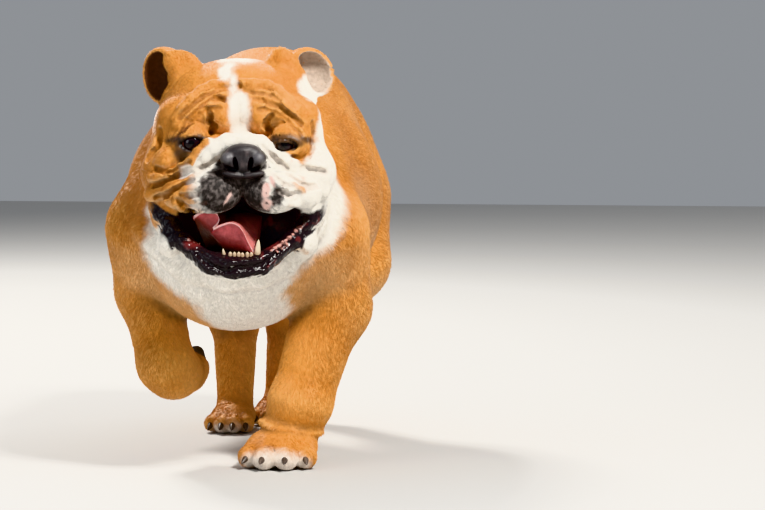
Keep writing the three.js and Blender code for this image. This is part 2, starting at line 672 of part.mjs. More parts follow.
// Legs: planes at the shoulder or hip, the elbow or knee, and the wrist or ankle
// and `under`, a block below which everything belongs to the legs
const legParts = [
  {
    upper: "left_upper_arm",
    lower: "left_forearm",
    paw: "left_forepaw",
    masses: LEFT_FORELEG,
    root: [[52, 0, 128], [0.72, 0, -0.69]],
    fore: [[0, 52, 0], [0, -1, 0]],
    joint: [[95, 0, 146], [0, 0, 1]],
    ankle: [[58, -20, 44], [0.2, 0, 1]],
    box: [[0, -100, 0], [150, 70, 240]],
    under: [-100, 126],
    claw: [0, -4, 2],
    clawDrop: -12,
  },
  {
    upper: "right_upper_arm",
    lower: "right_forearm",
    paw: "right_forepaw",
    masses: RIGHT_FORELEG,
    root: [[-52, 0, 128], [-0.72, 0, -0.69]],
    fore: [[0, 52, 0], [0, -1, 0]],
    joint: [[-95, 0, 160], [0, 0, 1]],
    ankle: [[-62, 0, 92], [-0.2, -0.9, 0.55]],
    box: [[-150, -100, 50], [-10, 70, 240]],
    under: [-100, 126],
    claw: [0, 2, -2],
    clawDrop: 10,
  },
  {
    upper: "left_thigh",
    lower: "left_hind_lower_leg",
    paw: "left_hindpaw",
    masses: LEFT_HINDLEG,
    root: [[30, 0, 168], [0.8, 0, -0.6]],
    fore: [[0, 192, 0], [0, 1, 0]],
    joint: [[80, 250, 176], [0, 0, 1]],
    ankle: [[-6, 350, 40], [0, 0.2, 1]],
    box: [[-60, 180, 0], [150, 420, 320]],
    under: [215, 165],
    claw: [0, -2, 2],
    clawDrop: -14,
  },
  {
    upper: "right_thigh",
    lower: "right_hind_lower_leg",
    paw: "right_hindpaw",
    masses: RIGHT_HINDLEG,
    root: [[-30, 0, 168], [-0.8, 0, -0.6]],
    fore: [[0, 192, 0], [0, 1, 0]],
    joint: [[-80, 250, 176], [0, 0, 1]],
    ankle: [[-52, 290, 40], [0, 0.3, 1]],
    box: [[-150, 180, 0], [20, 420, 320]],
    under: [215, 165],
    claw: [0, -2, 2],
    clawDrop: -14,
  },
];
const LEG_REACH = 60; // how far below the floor and outside its box a leg's cell goes on
const PAW_UNDER = 20; // how far below a leg's box its paw is looked for
const PAW_TOP = 140; // height below which all of every paw lies
function legCell(leg, shift) {
  const [low, high] = leg.box;
  const [left, right] = [low[0] - LEG_REACH, high[0] + LEG_REACH];
  const back = high[1] + LEG_REACH;
  const room = blockSolid([left, low[1] - LEG_REACH, -LEG_REACH], [right, back, high[2]]);
  const upperCell = room.intersect(beyond(...leg.root, shift)).intersect(beyond(...leg.fore, shift));
  const [start, top] = leg.under;
  return upperCell.add(blockSolid([left, start + shift, -LEG_REACH], [right, back, top - shift]));
}

// A claw is a short cone from inside the toe, bent down at its tip.
const CLAW_LENGTH = 17;
const CLAW_RADIUS = 4;
function clawSolid(at, towards) {
  const cone = new THREE.ConeGeometry(CLAW_RADIUS, CLAW_LENGTH, 6);
  cone.translate(0, CLAW_LENGTH / 2, 0);
  const way = new THREE.Vector3(...towards).normalize();
  cone.applyQuaternion(new THREE.Quaternion().setFromUnitVectors(new THREE.Vector3(0, 1, 0), way));
  cone.translate(...at);
  return shapeSolid(cone);
}
let trunk = within(solidOf(trunkSkin), opposite(NECK_PLANE));
for (const leg of legParts) {
  const [low, high] = leg.box;
  const cell = legCell(leg, GAP / 2);
  const bodyPart = thinned(skinOf(torso, low, high, LEG_CELL), UPPER_FACETS);
  const ownField = (p) => heap(leg.masses, p);
  const ownPart = thinned(skinOf(ownField, low, high, LEG_CELL), LEG_FACETS);
  const pawRoom = [[low[0], low[1], low[2] - PAW_UNDER], [high[0], high[1], PAW_TOP]];
  const pawPart = thinned(skinOf(ownField, ...pawRoom, PAW_CELL), PAW_FACETS);
  addNode(leg.upper, within(solidOf(bodyPart), leg.joint).intersect(cell), FAWN);
  addNode(leg.lower, within(solidOf(ownPart), opposite(leg.joint), leg.ankle).intersect(cell), FAWN);
  const paw = within(solidOf(pawPart), opposite(leg.ankle), opposite(leg.joint));
  addNode(leg.paw, paw.intersect(beyond(...FLOOR)), FAWN);
  const pawSwollen = swollen(pawPart, ownField, 2 * GAP);
  leg.masses.filter((m) => m.name === "toe").forEach((toe, n) => {
    const forward = minus(toe.b, toe.a);
    const claw = clawSolid(toe.b.map((c, a) => c + leg.claw[a]), [forward[0], forward[1], leg.clawDrop]);
    addNode(`${leg.paw}_claw_${n + 1}`, claw.subtract(pawSwollen), CLAW);
  });
  trunk = trunk.subtract(legCell(leg, -GAP / 2));
}

// Tail
const tailField = (p) => heap(TAIL, p);
const tailSkin = thinned(skinOf(tailField, ...ROOM.tail, PAW_CELL), TAIL_FACETS);
const trunkSwollen = swollen(trunkSkin, torso);
addNode("trunk", trunk, FAWN);
addNode("tail", solidOf(tailSkin).subtract(trunkSwollen), FAWN);

// Centre of the whole on the origin
group.updateMatrixWorld(true);
const bounds = new THREE.Box3().setFromObject(group);
const centre = bounds.getCenter(new THREE.Vector3());
for (const node of group.children) node.geometry.translate(-centre.x, -centre.y, -bounds.min.z);

export default group;
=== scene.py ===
"""English bulldog at a run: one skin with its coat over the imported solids, and the eyes, nose, tongue,
teeth and claws as pieces of their own."""
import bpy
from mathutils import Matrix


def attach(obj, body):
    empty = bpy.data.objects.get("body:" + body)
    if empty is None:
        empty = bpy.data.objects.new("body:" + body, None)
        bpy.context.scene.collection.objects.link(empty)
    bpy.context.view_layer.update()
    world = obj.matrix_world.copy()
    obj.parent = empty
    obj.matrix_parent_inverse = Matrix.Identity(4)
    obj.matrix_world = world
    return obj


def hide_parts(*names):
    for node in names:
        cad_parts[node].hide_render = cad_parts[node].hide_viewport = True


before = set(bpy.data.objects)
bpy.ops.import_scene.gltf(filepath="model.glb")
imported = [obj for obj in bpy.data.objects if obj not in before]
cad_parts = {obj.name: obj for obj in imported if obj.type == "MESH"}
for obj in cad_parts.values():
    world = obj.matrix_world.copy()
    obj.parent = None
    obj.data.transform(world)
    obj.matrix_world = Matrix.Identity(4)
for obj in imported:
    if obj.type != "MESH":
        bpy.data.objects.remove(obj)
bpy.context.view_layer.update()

from concurrent.futures import ThreadPoolExecutor
from math import atan2, cos, pi, radians, sin, sqrt

import bpy
import numpy as np
from mathutils import Vector

DICE = np.random.default_rng(7)

# The dog is described in millimetres: it faces -Y, its left is +X, and the shoulders stand at y = 0
# over the floor z = 0.
SHIFT = np.array([-1.355, -97.366, 0.0])  # from the dog's own numbers to the row's
HEAD_AT = np.array([12.0, -85.0, 333.0])
HEAD_YAW = 6.5

# Camera: a long lens, low and far away
VIEW_YAW = 6.5
LENS_PIXELS = 4216.0
PHOTO_WIDTH = 765.0
PHOTO_HEIGHT = 510.0
CAMERA_AWAY = 4.3
CAMERA_ASIDE = 0.1459
CAMERA_HEIGHT = 0.54
HORIZON_ROW = -67.4
SENSOR = 36.0


def row_place(points):
    """Millimetres in the dog's own numbers to metres in the row's frame."""
    return (np.asarray(points, float) + SHIFT) / 1000


camera = bpy.data.objects.new("camera", bpy.data.cameras.new("camera"))
ahead = Vector((-sin(radians(VIEW_YAW)), cos(radians(VIEW_YAW)), 0))
rightward = Vector((cos(radians(VIEW_YAW)), sin(radians(VIEW_YAW)), 0))
camera.location = -ahead * CAMERA_AWAY + rightward * CAMERA_ASIDE + Vector((0, 0, CAMERA_HEIGHT))
camera.location += Vector(SHIFT / 1000)
pitch = atan2(PHOTO_HEIGHT / 2 - HORIZON_ROW, LENS_PIXELS)
camera.rotation_mode = "QUATERNION"
camera.rotation_quaternion = (ahead * cos(pitch) - Vector((0, 0, sin(pitch)))).to_track_quat("-Z", "Y")
camera.data.sensor_width = SENSOR
camera.data.lens = LENS_PIXELS / PHOTO_WIDTH * SENSOR
camera.data.clip_end = 50
bpy.context.scene.collection.objects.link(camera)
bpy.context.scene.camera = camera


# Masses: an egg is an ellipsoid, a limb a tapered rod with round ends, a leaf a thin bowl.
def turn_matrix(turn):
    ax, ay, az = (radians(a) for a in turn)
    rx = np.array([[1, 0, 0], [0, cos(ax), -sin(ax)], [0, sin(ax), cos(ax)]])
    ry = np.array([[cos(ay), 0, sin(ay)], [0, 1, 0], [-sin(ay), 0, cos(ay)]])
    rz = np.array([[cos(az), -sin(az), 0], [sin(az), cos(az), 0], [0, 0, 1]])
    return rz @ ry @ rx


def egg(name, at, radii, soft, turn=(0, 0, 0)):
    at, radii, axes = np.array(at, float), np.array(radii, float), turn_matrix(turn)
    half = np.sqrt(((axes * radii) ** 2).sum(1))
    return {"kind": "egg", "name": name, "at": at, "radii": radii, "axes": axes, "soft": soft,
            "low": at - half, "high": at + half}


def limb(name, start, end, start_radius, end_radius, soft):
    a, b = np.array(start, float), np.array(end, float)
    low, high = np.minimum(a - start_radius, b - end_radius), np.maximum(a + start_radius, b + end_radius)
    return {"kind": "limb", "name": name, "a": a, "b": b, "ra": start_radius, "rb": end_radius,
            "soft": soft, "low": low, "high": high}


def leaf(name, at, radii, turn, thickness, opening, depth):
    bowl = egg(name, at, radii, 0, turn)
    way = np.array(opening, float)
    bowl.update(kind="leaf", thickness=thickness, opening=way / np.linalg.norm(way), depth=depth,
                low=bowl["low"] - thickness, high=bowl["high"] + thickness)
    return bowl


def cut(mass):
    return {**mass, "cut": True}


def egg_distance(m, p):
    q = (p - m["at"]) @ m["axes"] / m["radii"]
    k0 = np.sqrt((q * q).sum(1))
    q /= m["radii"]
    k1 = np.sqrt((q * q).sum(1))
    return k0 * (k0 - 1) / np.maximum(k1, 1e-9)


def limb_distance(m, p):
    along = m["b"] - m["a"]
    off = p - m["a"]
    t = np.clip(off @ along / (along @ along), 0, 1)
    off = off - t[:, None] * along
    return np.sqrt((off * off).sum(1)) - (m["ra"] + (m["rb"] - m["ra"]) * t)


def leaf_distance(m, p):
    shell = np.abs(egg_distance(m, p)) - m["thickness"] / 2
    return carve(shell, m["depth"] - (p - m["at"]) @ m["opening"], 3)


DISTANCE = {"egg": egg_distance, "limb": limb_distance, "leaf": leaf_distance}
FAR_OFF = 500.0
NEAR = 9.0  # how far from a mass the field still has to be right


def join(a, b, soft):
    h = np.maximum(soft - np.abs(a - b), 0) / np.maximum(soft, 1e-6)
    return np.minimum(a, b) - h * h * soft / 4


def carve(a, b, soft):
    return -join(-a, b, soft)


def within(p, low, high):
    """Which places lie inside a box."""
    return ((p > low) & (p < high)).all(1)


def heap(masses, p, d=None, spare=0.0):
    """Adds masses to a field one after another, each only where it can matter."""
    d = np.full(len(p), FAR_OFF) if d is None else d
    for m in masses:
        room = max(m["soft"], spare) + NEAR
        near = np.flatnonzero(within(p, m["low"] - room, m["high"] + room))
        if len(near) == 0:
            continue
        e = DISTANCE[m["kind"]](m, p[near])
        d[near] = carve(d[near], e, m["soft"]) if m.get("cut") else join(d[near], e, m["soft"])
    return d


def mirrored(p):
    return np.stack([np.abs(p[:, 0]), p[:, 1], p[:, 2]], 1)


YAW_COS, YAW_SIN = cos(radians(HEAD_YAW)), sin(radians(HEAD_YAW))
HEAD_TURN = np.array([[YAW_COS, YAW_SIN, 0], [-YAW_SIN, YAW_COS, 0], [0, 0, 1]])


def head_space(p):
    return (p - HEAD_AT) @ HEAD_TURN.T


def from_head(q):
    return np.asarray(q, float) @ HEAD_TURN + HEAD_AT


TRUNK = [
  egg("ribcage", [0, 106, 262], [136, 158, 127], 0),
  egg("forechest", [0, -26, 228], [100, 82, 94], 40),
  egg("withers", [0, 40, 322], [72, 92, 68], 44),
  egg("shoulder blade", [78, 4, 262], [46, 70, 82], 24, [0, -14, 0]),
  egg("loin", [0, 212, 328], [92, 116, 92], 50),
  egg("croup", [0, 278, 316], [90, 76, 82], 40),
  egg("belly", [0, 188, 236], [94, 106, 64], 40),
  egg("thigh", [66, 278, 252], [52, 80, 90], 30, [-12, 0, 0]),
]
NECK = [
  limb("nape", [4, 20, 312], [9, -84, 318], 84, 72, 0),
  egg("throat", [10, -88, 254], [74, 52, 64], 30),
  egg("ruff", [12, -70, 270], [96, 34, 84], 20, [12, 0, 0]),
]
LEFT_FORELEG = [
  limb("upper arm", [94, -30, 236], [98, 8, 160], 44, 38, 0),
  limb("forearm", [92, 0, 158], [66, -18, 66], 38, 33, 20),
  limb("elbow", [104, 24, 156], [102, 26, 140], 20, 17, 18),
  limb("wrist", [64, -20, 60], [55, -24, 34], 33, 30, 14),
  egg("wrist roll", [55, -21, 38], [36, 34, 9], 8, [0, 10, 0]),
  egg("paw", [48, -36, 19], [38, 40, 22], 8),
]
RIGHT_FORELEG = [
  limb("upper arm", [-92, -34, 240], [-94, 4, 176], 42, 36, 0),
  limb("forearm", [-92, 2, 172], [-72, -32, 102], 34, 30, 20),
  limb("carpus", [-72, -32, 102], [-64, -24, 92], 29, 27, 12),
  limb("metacarpus", [-66, -22, 92], [-58, 8, 90], 27, 25, 12),
]
RIGHT_HINDLEG = [
  limb("thigh", [-70, 270, 250], [-84, 228, 192], 56, 46, 0),
  limb("shin", [-84, 232, 186], [-56, 322, 122], 44, 29, 25),
  limb("hock", [-56, 322, 124], [-54, 334, 112], 25, 23, 16),
  limb("metatarsus", [-53, 322, 112], [-48, 286, 34], 27, 22, 12),
  egg("paw", [-47, 268, 15], [26, 36, 18], 12),
]
LEFT_HINDLEG = [
  limb("thigh", [68, 270, 250], [80, 244, 190], 56, 46, 0),
  limb("shin", [78, 248, 184], [4, 368, 120], 44, 29, 25),
  limb("hock", [4, 368, 124], [0, 376, 112], 25, 23, 16),
  limb("metatarsus", [0, 371, 112], [-6, 358, 34], 26, 21, 12),
  egg("paw", [-8, 342, 15], [26, 36, 18], 12),
]
TAIL = [
  limb("root", [0, 326, 326], [2, 360, 306], 22, 15, 0),
  limb("tip", [2, 360, 306], [-6, 370, 280], 14, 8, 8),
]

LEFT_FORE_TOES = [[-28, -58], [-11, -72], [11, -72], [29, -58]]
HIND_TOES = [[-18, -44], [-6, -54], [6, -54], [18, -44]]
LIFTED_TOES = [-21, -7, 7, 21]
for dx, dy in LEFT_FORE_TOES:
    LEFT_FORELEG.append(limb("toe", [49 + dx * 0.7, -40, 20], [47 + dx, -8 + dy, 12], 15, 14, 7))
for dx in LIFTED_TOES:
    knuckle = [-58 + dx * 0.6, 10, 90 + dx * 0.2]
    RIGHT_FORELEG.append(limb("toe", knuckle, [-62 + dx * 0.5, 38, 97 + dx * 0.4], 13, 11, 6))
for dx, dy in HIND_TOES:
    RIGHT_HINDLEG.append(limb("toe", [-47 + dx * 0.7, 262, 15], [-47 + dx, 278 + dy, 10], 11, 11.5, 4))
    LEFT_HINDLEG.append(limb("toe", [-8 + dx * 0.7, 334, 15], [-8 + dx, 350 + dy, 10], 11, 11.5, 4))

SKULL = [
  egg("cranium", [0, 0, 34], [78, 66, 50], 0),
  egg("brow", [36, -54, 29], [42, 24, 22], 14),
  egg("temple", [60, -30, 2], [27, 38, 40], 20),
  egg("cheek", [64, -46, -30], [34, 38, 33], 14),
  egg("muzzle", [0, -76, -26], [46, 34, 36], 14),
  egg("jaw hinge", [60, -34, -70], [29, 38, 30], 20),
  egg("gullet", [0, -44, -92], [54, 44, 38], 20),
  cut(egg("stop", [0, -104, 22], [16, 20, 22], 14)),
  cut(egg("mouth", [0, -90, -84], [74, 44, 38], 6)),
  egg("flew", [30, -98, -45], [31, 22, 23], 7),
  egg("flew side", [56, -84, -46], [24, 20, 18], 7, [0, 16, 0]),
  egg("eye lids", [48, -73, 0], [20, 18, 16], 6),
  cut(limb("philtrum", [0, -125, -36], [0, -122, -66], 2, 4, 5)),
]
NOSE_ROLL = []
ROLL_PLACES = [
  [-84, -66, -50], [-72, -74, -43], [-61, -81, -36], [-49, -89, -28], [-38, -95, -18],
  [-29, -98.5, -9.5], [-20, -100.5, -2.5], [-8, -102, 3.5], [9, -102.5, 5], [24.5, -101, 1.5],
  [38.4, -96, -9.5], [51.4, -89, -22], [64, -81, -34], [74, -74, -40], [84, -66, -46],
]
for start, end in zip(ROLL_PLACES[:-1], ROLL_PLACES[1:]):
    NOSE_ROLL.append(limb("nose roll", start, end, 8.5, 8.5, 3))
JAW = [
  limb("jaw side", [80, -50, -64], [53, -80, -96], 9, 9, 0),
  limb("jaw front", [53, -80, -96], [24, -100, -118], 9, 10.5, 6),
  limb("chin", [24, -100, -118], [0, -104, -122], 10.5, 11.5, 6),
  egg("jaw floor", [0, -66, -118], [46, 42, 13], 10, [-8, 0, 0]),
]
RIGHT_EAR = [
  leaf("ear cup", [-77, 2, 64], [24, 19, 27], [0, 20, 0], 5.5, [-0.62, -0.78, -0.12], 3),
  egg("front flap", [-54, -10, 74], [22, 6, 15], 7, [0, 28, 0]),
  egg("burr", [-52, 2, 62], [20, 16, 16], 8),
]
LEFT_EAR = [
  leaf("ear cup", [73, 4, 68], [27, 17, 21], [0, 24, 0], 5.5, [0.5, -0.85, 0.1], 3),
  egg("front flap", [42, -9, 74], [17, 6, 20], 7, [0, -16, 0]),
  egg("burr", [50, 2, 62], [18, 16, 16], 8),
]


# The muzzle points to the dog's left: how far its front stands aside, and the depths from which and
# over which it swings out
MUZZLE_SWING, SWING_FROM, SWING_OVER = 8, 40, 70


def face_place(q):
    """Places of the face brought to its left half, with the muzzle's swing to the dog's left taken out."""
    p = np.array(q, float)
    p[:, 0] -= MUZZLE_SWING * np.clip((-p[:, 1] - SWING_FROM) / SWING_OVER, 0, 1)
    return mirrored(p)


def skull(q):
    return heap(NOSE_ROLL, q, heap(SKULL, face_place(q), spare=14))


# Features of the face are given as they look from the camera: (across, up) from the middle of the brow,
# at the size of things VIEW_DEPTH away. VIEWPOINT is the camera's place from the head.
VIEWPOINT = np.array([143.6, -4214.0, 207.0])
VIEW_DEPTH = 4216.0
VIEW_MIDDLE = np.array([141.5, 209.4])
START_DEPTH = 4040.0  # just before the nose
STRAIGHT_START = -175.0  # the same for a fold of the body
STEPS, LONGEST_STEP, STEP_SHARE = 90, 3, 0.85


def seen_from_camera(q):
    """Places of the head with across and up as the camera sees them."""
    size = VIEW_DEPTH / (q[:, 1] - VIEWPOINT[1])
    across = VIEW_MIDDLE[0] + (q[:, 0] - VIEWPOINT[0]) * size
    up = VIEW_MIDDLE[1] + (q[:, 2] - VIEWPOINT[2]) * size
    return np.stack([across, q[:, 1], up], 1)


def placed_in_head(seen):
    """The opposite: head places of points given as (across, depth, up) with across and up as seen."""
    seen = np.asarray(seen, float)
    size = VIEW_DEPTH / (seen[..., 1] - VIEWPOINT[1])
    across = VIEWPOINT[0] + (seen[..., 0] - VIEW_MIDDLE[0]) / size
    up = VIEWPOINT[2] + (seen[..., 2] - VIEW_MIDDLE[1]) / size
    return np.stack([across, seen[..., 1], up], -1)


def drop_on(field, places, straight=False):
    """Points on the front of a field below the places (across, up), found by stepping backwards.

    The steps go along the camera's view, or straight along +Y.
    """
    places = np.array(places, float)
    across, up = places[:, 0], places[:, 1]
    if straight:
        sight = np.tile([0.0, 1.0, 0.0], (len(places), 1))
        p = np.stack([across, np.full(len(places), STRAIGHT_START), up], 1)
    else:
        depth = np.full(len(places), VIEW_DEPTH)
        sight = np.stack([across - VIEW_MIDDLE[0], depth, up - VIEW_MIDDLE[1]], 1) / VIEW_DEPTH
        p = VIEWPOINT + sight * START_DEPTH
    for _ in range(STEPS):
        p += sight * (np.clip(field(p), 0, LONGEST_STEP) * STEP_SHARE)[:, None]
    return p


def slope(field, p, h=0.4):
    base = field(p)
    g = np.stack([(field(p + h * axis) - base) / h for axis in np.eye(3)], 1)
    return base, g


def outward(field, p):
    g = slope(field, p)[1]
    return g / np.maximum(np.linalg.norm(g, axis=1), 1e-6)[:, None]


def fold(field, name, places, radius, stands, soft=3.0, crease=False, straight=False):
    """A chain of short limbs lying on a field: a ridge that stands proud, or a crease cut in."""
    spine = drop_on(field, places, straight)
    ends = np.sin(np.linspace(0.15 * pi, 0.85 * pi, len(places)))[:, None]
    lift = stands * ends - radius
    centres = spine + outward(field, spine) * (-lift if crease else lift)
    chain = []
    for a, b in zip(centres[:-1], centres[1:]):
        piece = limb(name, a, b, radius, radius, soft)
        chain.append(cut(piece) if crease else piece)
    return chain


def pad(field, name, place, radii, stands, soft=6.0):
    spot = drop_on(field, [place])
    centre = spot + outward(field, spot) * (stands - radii[1])
    return egg(name, centre[0], radii, soft)


FACE = []
# Ridges and furrows of the face as the camera sees them: places (across, up), radius, and how far they
# stand or sink before RIDGE_LIFT and FURROW_SINK are applied
RIDGES = [
    ("crown fold", [(-6, 61), (-16, 60), (-28, 58), (-40, 52), (-50, 44), (-58, 35), (-66, 24)], 6, 3.4),
    ("crown fold", [(2, 61), (12, 60), (26, 58), (37, 52), (47, 43), (57, 34), (66, 23)], 6, 3.4),
    ("brow fold", [(-14, 49), (-26, 50), (-37, 46), (-46, 38), (-55, 29), (-64, 18), (-70, 10)], 5, 3.2),
    ("brow fold", [(9, 49), (20, 49), (32, 46), (42, 38), (53, 30), (62, 19), (68, 10)], 5, 3.2),
    ("lid fold", [(-20, 38), (-31, 37), (-42, 33), (-50, 25), (-60, 16), (-70, 6)], 4.5, 3.4),
    ("lid fold", [(16, 38), (27, 37), (37, 32), (48, 24), (58, 16), (66, 8)], 4.5, 3.4),
    ("upper lid", [(-36, 14), (-46, 15), (-57, 11), (-66, 6)], 4.5, 2.6),
    ("upper lid", [(37, 12), (47, 14), (57, 11), (64, 7)], 4.5, 2.6),
    ("under eye", [(-62, -10), (-66, -16), (-76, -20), (-84, -18)], 6, 3),
    ("cheek fold", [(-26, 5), (-34, -1), (-42, -9), (-50, -20), (-60, -26.5), (-71, -31.5),
                    (-84, -35), (-92, -35)], 5, 4.4),
    ("cheek fold", [(50, -19), (60, -22), (70, -23), (84, -24)], 4.5, 3),
    ("lip fold", [(-44, -44), (-56, -47), (-64, -53), (-66, -60), (-60, -66), (-50, -70),
                  (-40, -69)], 3.6, 2.8),
    ("lip fold", [(42, -40), (52, -43), (60, -48), (62, -55), (56, -61), (44, -63)], 4, 2.6),
    ("nose corner", [(22, -6), (26, -9), (30, -14)], 3, 2.2),
    ("spot fold", [(29, -33), (36, -40), (44, -47), (52, -50)], 3.4, 2),
]
FURROWS = [
    ("blaze furrow", [(-3, 61), (-2.5, 57), (-2.5, 53)], 2.4, 2.6),
    ("brow furrow", [(-9, 55), (-22, 54), (-31, 51), (-39, 47), (-47.5, 40), (-54, 34),
                     (-62, 25)], 2.4, 2.8),
    ("brow furrow", [(-2, 55), (10, 52.6), (20, 52), (28, 50), (38, 43)], 2.4, 2.8),
    ("inner furrow", [(-17, 44), (-27.5, 45), (-39, 39), (-46, 31), (-54, 22), (-62, 13)], 2.2, 2.6),
    ("inner furrow", [(14, 45.5), (21, 42.5), (30, 41), (39, 37), (45.5, 31), (53, 25),
                      (61, 18)], 2.2, 2.8),
    ("pocket", [(-27, 46), (-20, 44), (-17, 43)], 3, 3.2),
    ("pocket", [(14, 45.5), (19, 43)], 3, 3.2),
    ("lid furrow", [(-21, 35), (-32, 33), (-41, 28), (-50, 20), (-58, 12), (-68, 5)], 2.0, 2.2),
    ("lid furrow", [(17, 33), (25, 33), (33, 29.5), (41, 25.5), (47, 21), (55, 15), (61, 9)], 2.0, 2.4),
    ("brow pit", [(-32, 30), (-31, 25), (-32, 20), (-27, 16), (-30, 10)], 2.4, 3.2),
    ("brow pit", [(30, 27), (26, 21), (25, 16), (28, 11), (30, 7)], 2.4, 3.2),
    ("cheek pad furrow", [(-82, 12), (-82.5, 4), (-84, -4), (-90, -9), (-94, -16)], 3.2, 4.5),
    ("cheek furrow", [(-52, -19), (-60, -23), (-68, -26), (-78, -27.5), (-86, -26)], 2.4, 3.2),
    ("cheek furrow", [(-52, -26), (-59, -32), (-70, -36.5), (-79, -40), (-88, -43)], 2.6, 3.6),
    ("cheek furrow", [(-50, -37), (-60, -42.5), (-68, -47), (-76, -52.5), (-84, -56)], 3, 4.2),
    ("under nose roll", [(-22, -15.5), (-27, -18), (-35, -23.5), (-43, -29)], 2.2, 3),
    ("under nose roll", [(23, -4), (28, -10.5), (33, -15.5), (39, -21), (46, -27)], 2.2, 3),
    ("roll furrow", [(48, -31), (58, -37.5), (65, -41.5), (71, -43.5), (78, -43)], 2.6, 3.6),
    ("right cheek furrow", [(62, -25), (71, -28), (78, -28.5), (86, -31)], 2.4, 2.8),
    ("under right eye", [(52, -13.5), (60, -16.2), (67, -14), (72, -5), (73, 8), (72, 20)], 2.0, 2.4),
    ("lip furrow", [(-60, -53), (-53, -53.5), (-45, -53)], 2.4, 2.6),
    ("lip furrow", [(-64, -57), (-59, -62), (-52, -65), (-43, -65), (-36, -61)], 1.8, 1.8),
    ("lip furrow", [(38, -48), (43.5, -52), (49, -53.5), (57, -51)], 2.2, 2.8),
    ("spot furrow", [(30, -30), (37, -35), (44, -41), (52, -44)], 2.0, 2.2),
]
RIDGE_LIFT = 1.65
FURROW_SINK = 1.8
for label, places, radius, stands in RIDGES:
    FACE += fold(skull, label, places, radius, stands * RIDGE_LIFT)
for label, place, radii, stands in [
    ("brow pad", (-18, 24), [10, 10, 14], 4.5),
    ("brow pad", (18, 24), [10, 10, 14], 4.5),
    ("lid pad", (-49, 15), [12, 8, 6], 4),
    ("lid pad", (48, 15), [12, 8, 6], 4),
    ("cheek pad", (-91, -4), [12, 18, 17], 6),
    ("under eye", (-73, -12), [12, 10, 10], 4.5),
]:
    FACE.append(pad(skull, label, place, radii, stands))
RIDGED = list(FACE)


def ridged(q):
    return heap(RIDGED, q, skull(q))


# Each furrow also gets a dark line of darker hair and painted shade along its crease
FURROW_LINES = []  # (chain, strength of its dark line)
for label, places, radius, sinks in FURROWS:
    chain = fold(ridged, label, places, radius + 0.3, sinks * FURROW_SINK, soft=1.8, crease=True)
    FACE += chain
    FURROW_LINES.append((chain, min(0.95, 0.62 + 0.1 * sinks)))

# The lower lip: its shelf's crease, its line, and the knobs along its edge
def jaw_front(q):
    return heap(JAW, mirrored(q), spare=5)


LIP_SHELF = [(-44, -112), (-32, -123), (-18, -129.5), (-1.6, -126.5), (18.4, -125), (27, -119),
             (38, -108), (50, -98)]
LIP_LINE = [(-40, -106), (-30, -112), (-18, -117.5), (-8, -120), (4, -119), (16, -118), (26, -112),
            (36, -104)]
FACE += fold(jaw_front, "lip shelf", LIP_SHELF, 2.4, 3.6, soft=2, crease=True)
FACE += fold(jaw_front, "lip line", LIP_LINE, 2.6, 1.6, soft=2)
KNOBS = [(30, -108), (34, -105.5), (38, -103), (41, -100), (45, -98), (48, -94.5), (52, -91.5),
         (55, -88), (59, -84.5), (36, -110), (41, -106), (46, -102), (50, -98),
         (-36, -103), (-42, -101), (-47, -99), (-52, -97)]
knob_spots = drop_on(jaw_front, KNOBS)
PAPILLAE = [limb("knob", spot, spot + [0.4, -0.8, 0.6], 1.5 + 0.5 * (n % 3), 1.1 + 0.4 * (n % 2), 1.2)
            for n, spot in enumerate(knob_spots)]
FACE += PAPILLAE

# Eyes: how far the lids stand open above and below, in degrees, and the tubes of their rims
EYE_AT = {1: np.array([47, -75, -1.0]), -1: np.array([-42.5, -77, 1.0])}
EYE_RADIUS = 12.0
LID_RADIUS = 2.1
LID_THICK = 3.0
LID_OPEN = {-1: (37, -38), 1: (21, -30)}
LID_SWEEP = 66  # degrees from the middle of a lid to its corner
LID_PROUD = 0.75  # how much of a rim's tube stands off the ball
for side, (upper, lower) in LID_OPEN.items():
    eye_at = EYE_AT[side]
    slit = [13, 16, EYE_RADIUS * sin(radians((upper - lower) / 2)) + 1]
    FACE.append(egg("lid dome", eye_at, [EYE_RADIUS + LID_THICK] * 3, 7))
    FACE.append(cut(egg("eye slit", eye_at + [0, -14, (upper + lower) / 20], slit, 2)))
    FACE.append(cut(egg("eye socket", eye_at, [EYE_RADIUS + 0.4] * 3, 0)))
    for height in (upper, lower):
        ring = []
        for k in range(9):
            swing = radians(LID_SWEEP * (k / 4 - 1))
            lift = radians(height) * cos(swing * 90 / LID_SWEEP) ** 0.8 + radians(-3)
            way = np.array([sin(swing) * cos(lift), -cos(swing) * cos(lift), sin(lift)])
            ring.append(eye_at + way * (EYE_RADIUS + LID_RADIUS * LID_PROUD))
        for a, b in zip(ring[:-1], ring[1:]):
            FACE.append(limb("lid", a, b, LID_RADIUS, LID_RADIUS, 2))


JAW_WALL = [egg("jaw wall", [66, -56, -98], [14, 26, 16], 6)]  # skin of the cheek under the lip


def head(q):
    d = skull(q)
    d = join(d, heap(JAW, mirrored(q), spare=5), 5)
    d = join(d, heap(JAW_WALL, mirrored(q), spare=6), 6)
    for ear in (RIGHT_EAR, LEFT_EAR):
        d = join(d, heap(ear, q, spare=6), 6)
    return heap(FACE, q, d)


MOUTH = [cut(mass) for mass in SKULL if mass["name"] == "mouth"]
FLEWS = [mass for mass in SKULL if mass["name"] in ("flew", "flew side")]
HEAD_LOW, HEAD_HIGH = np.array([-110, -240, 175]), np.array([135, 20, 450])
LEGS = (LEFT_FORELEG, RIGHT_FORELEG, LEFT_HINDLEG, RIGHT_HINDLEG)


def torso(p):
    d = heap(TRUNK, mirrored(p), spare=40)
    d = join(d, heap(NECK, p, spare=40), 40)
    soft = 3 + 20 * np.clip((p[:, 2] - 110) / 90, 0, 1)
    for leg in LEGS:
        d = join(d, heap(leg, p, spare=23), soft)
    return join(d, heap(TAIL, p, spare=12), 12)


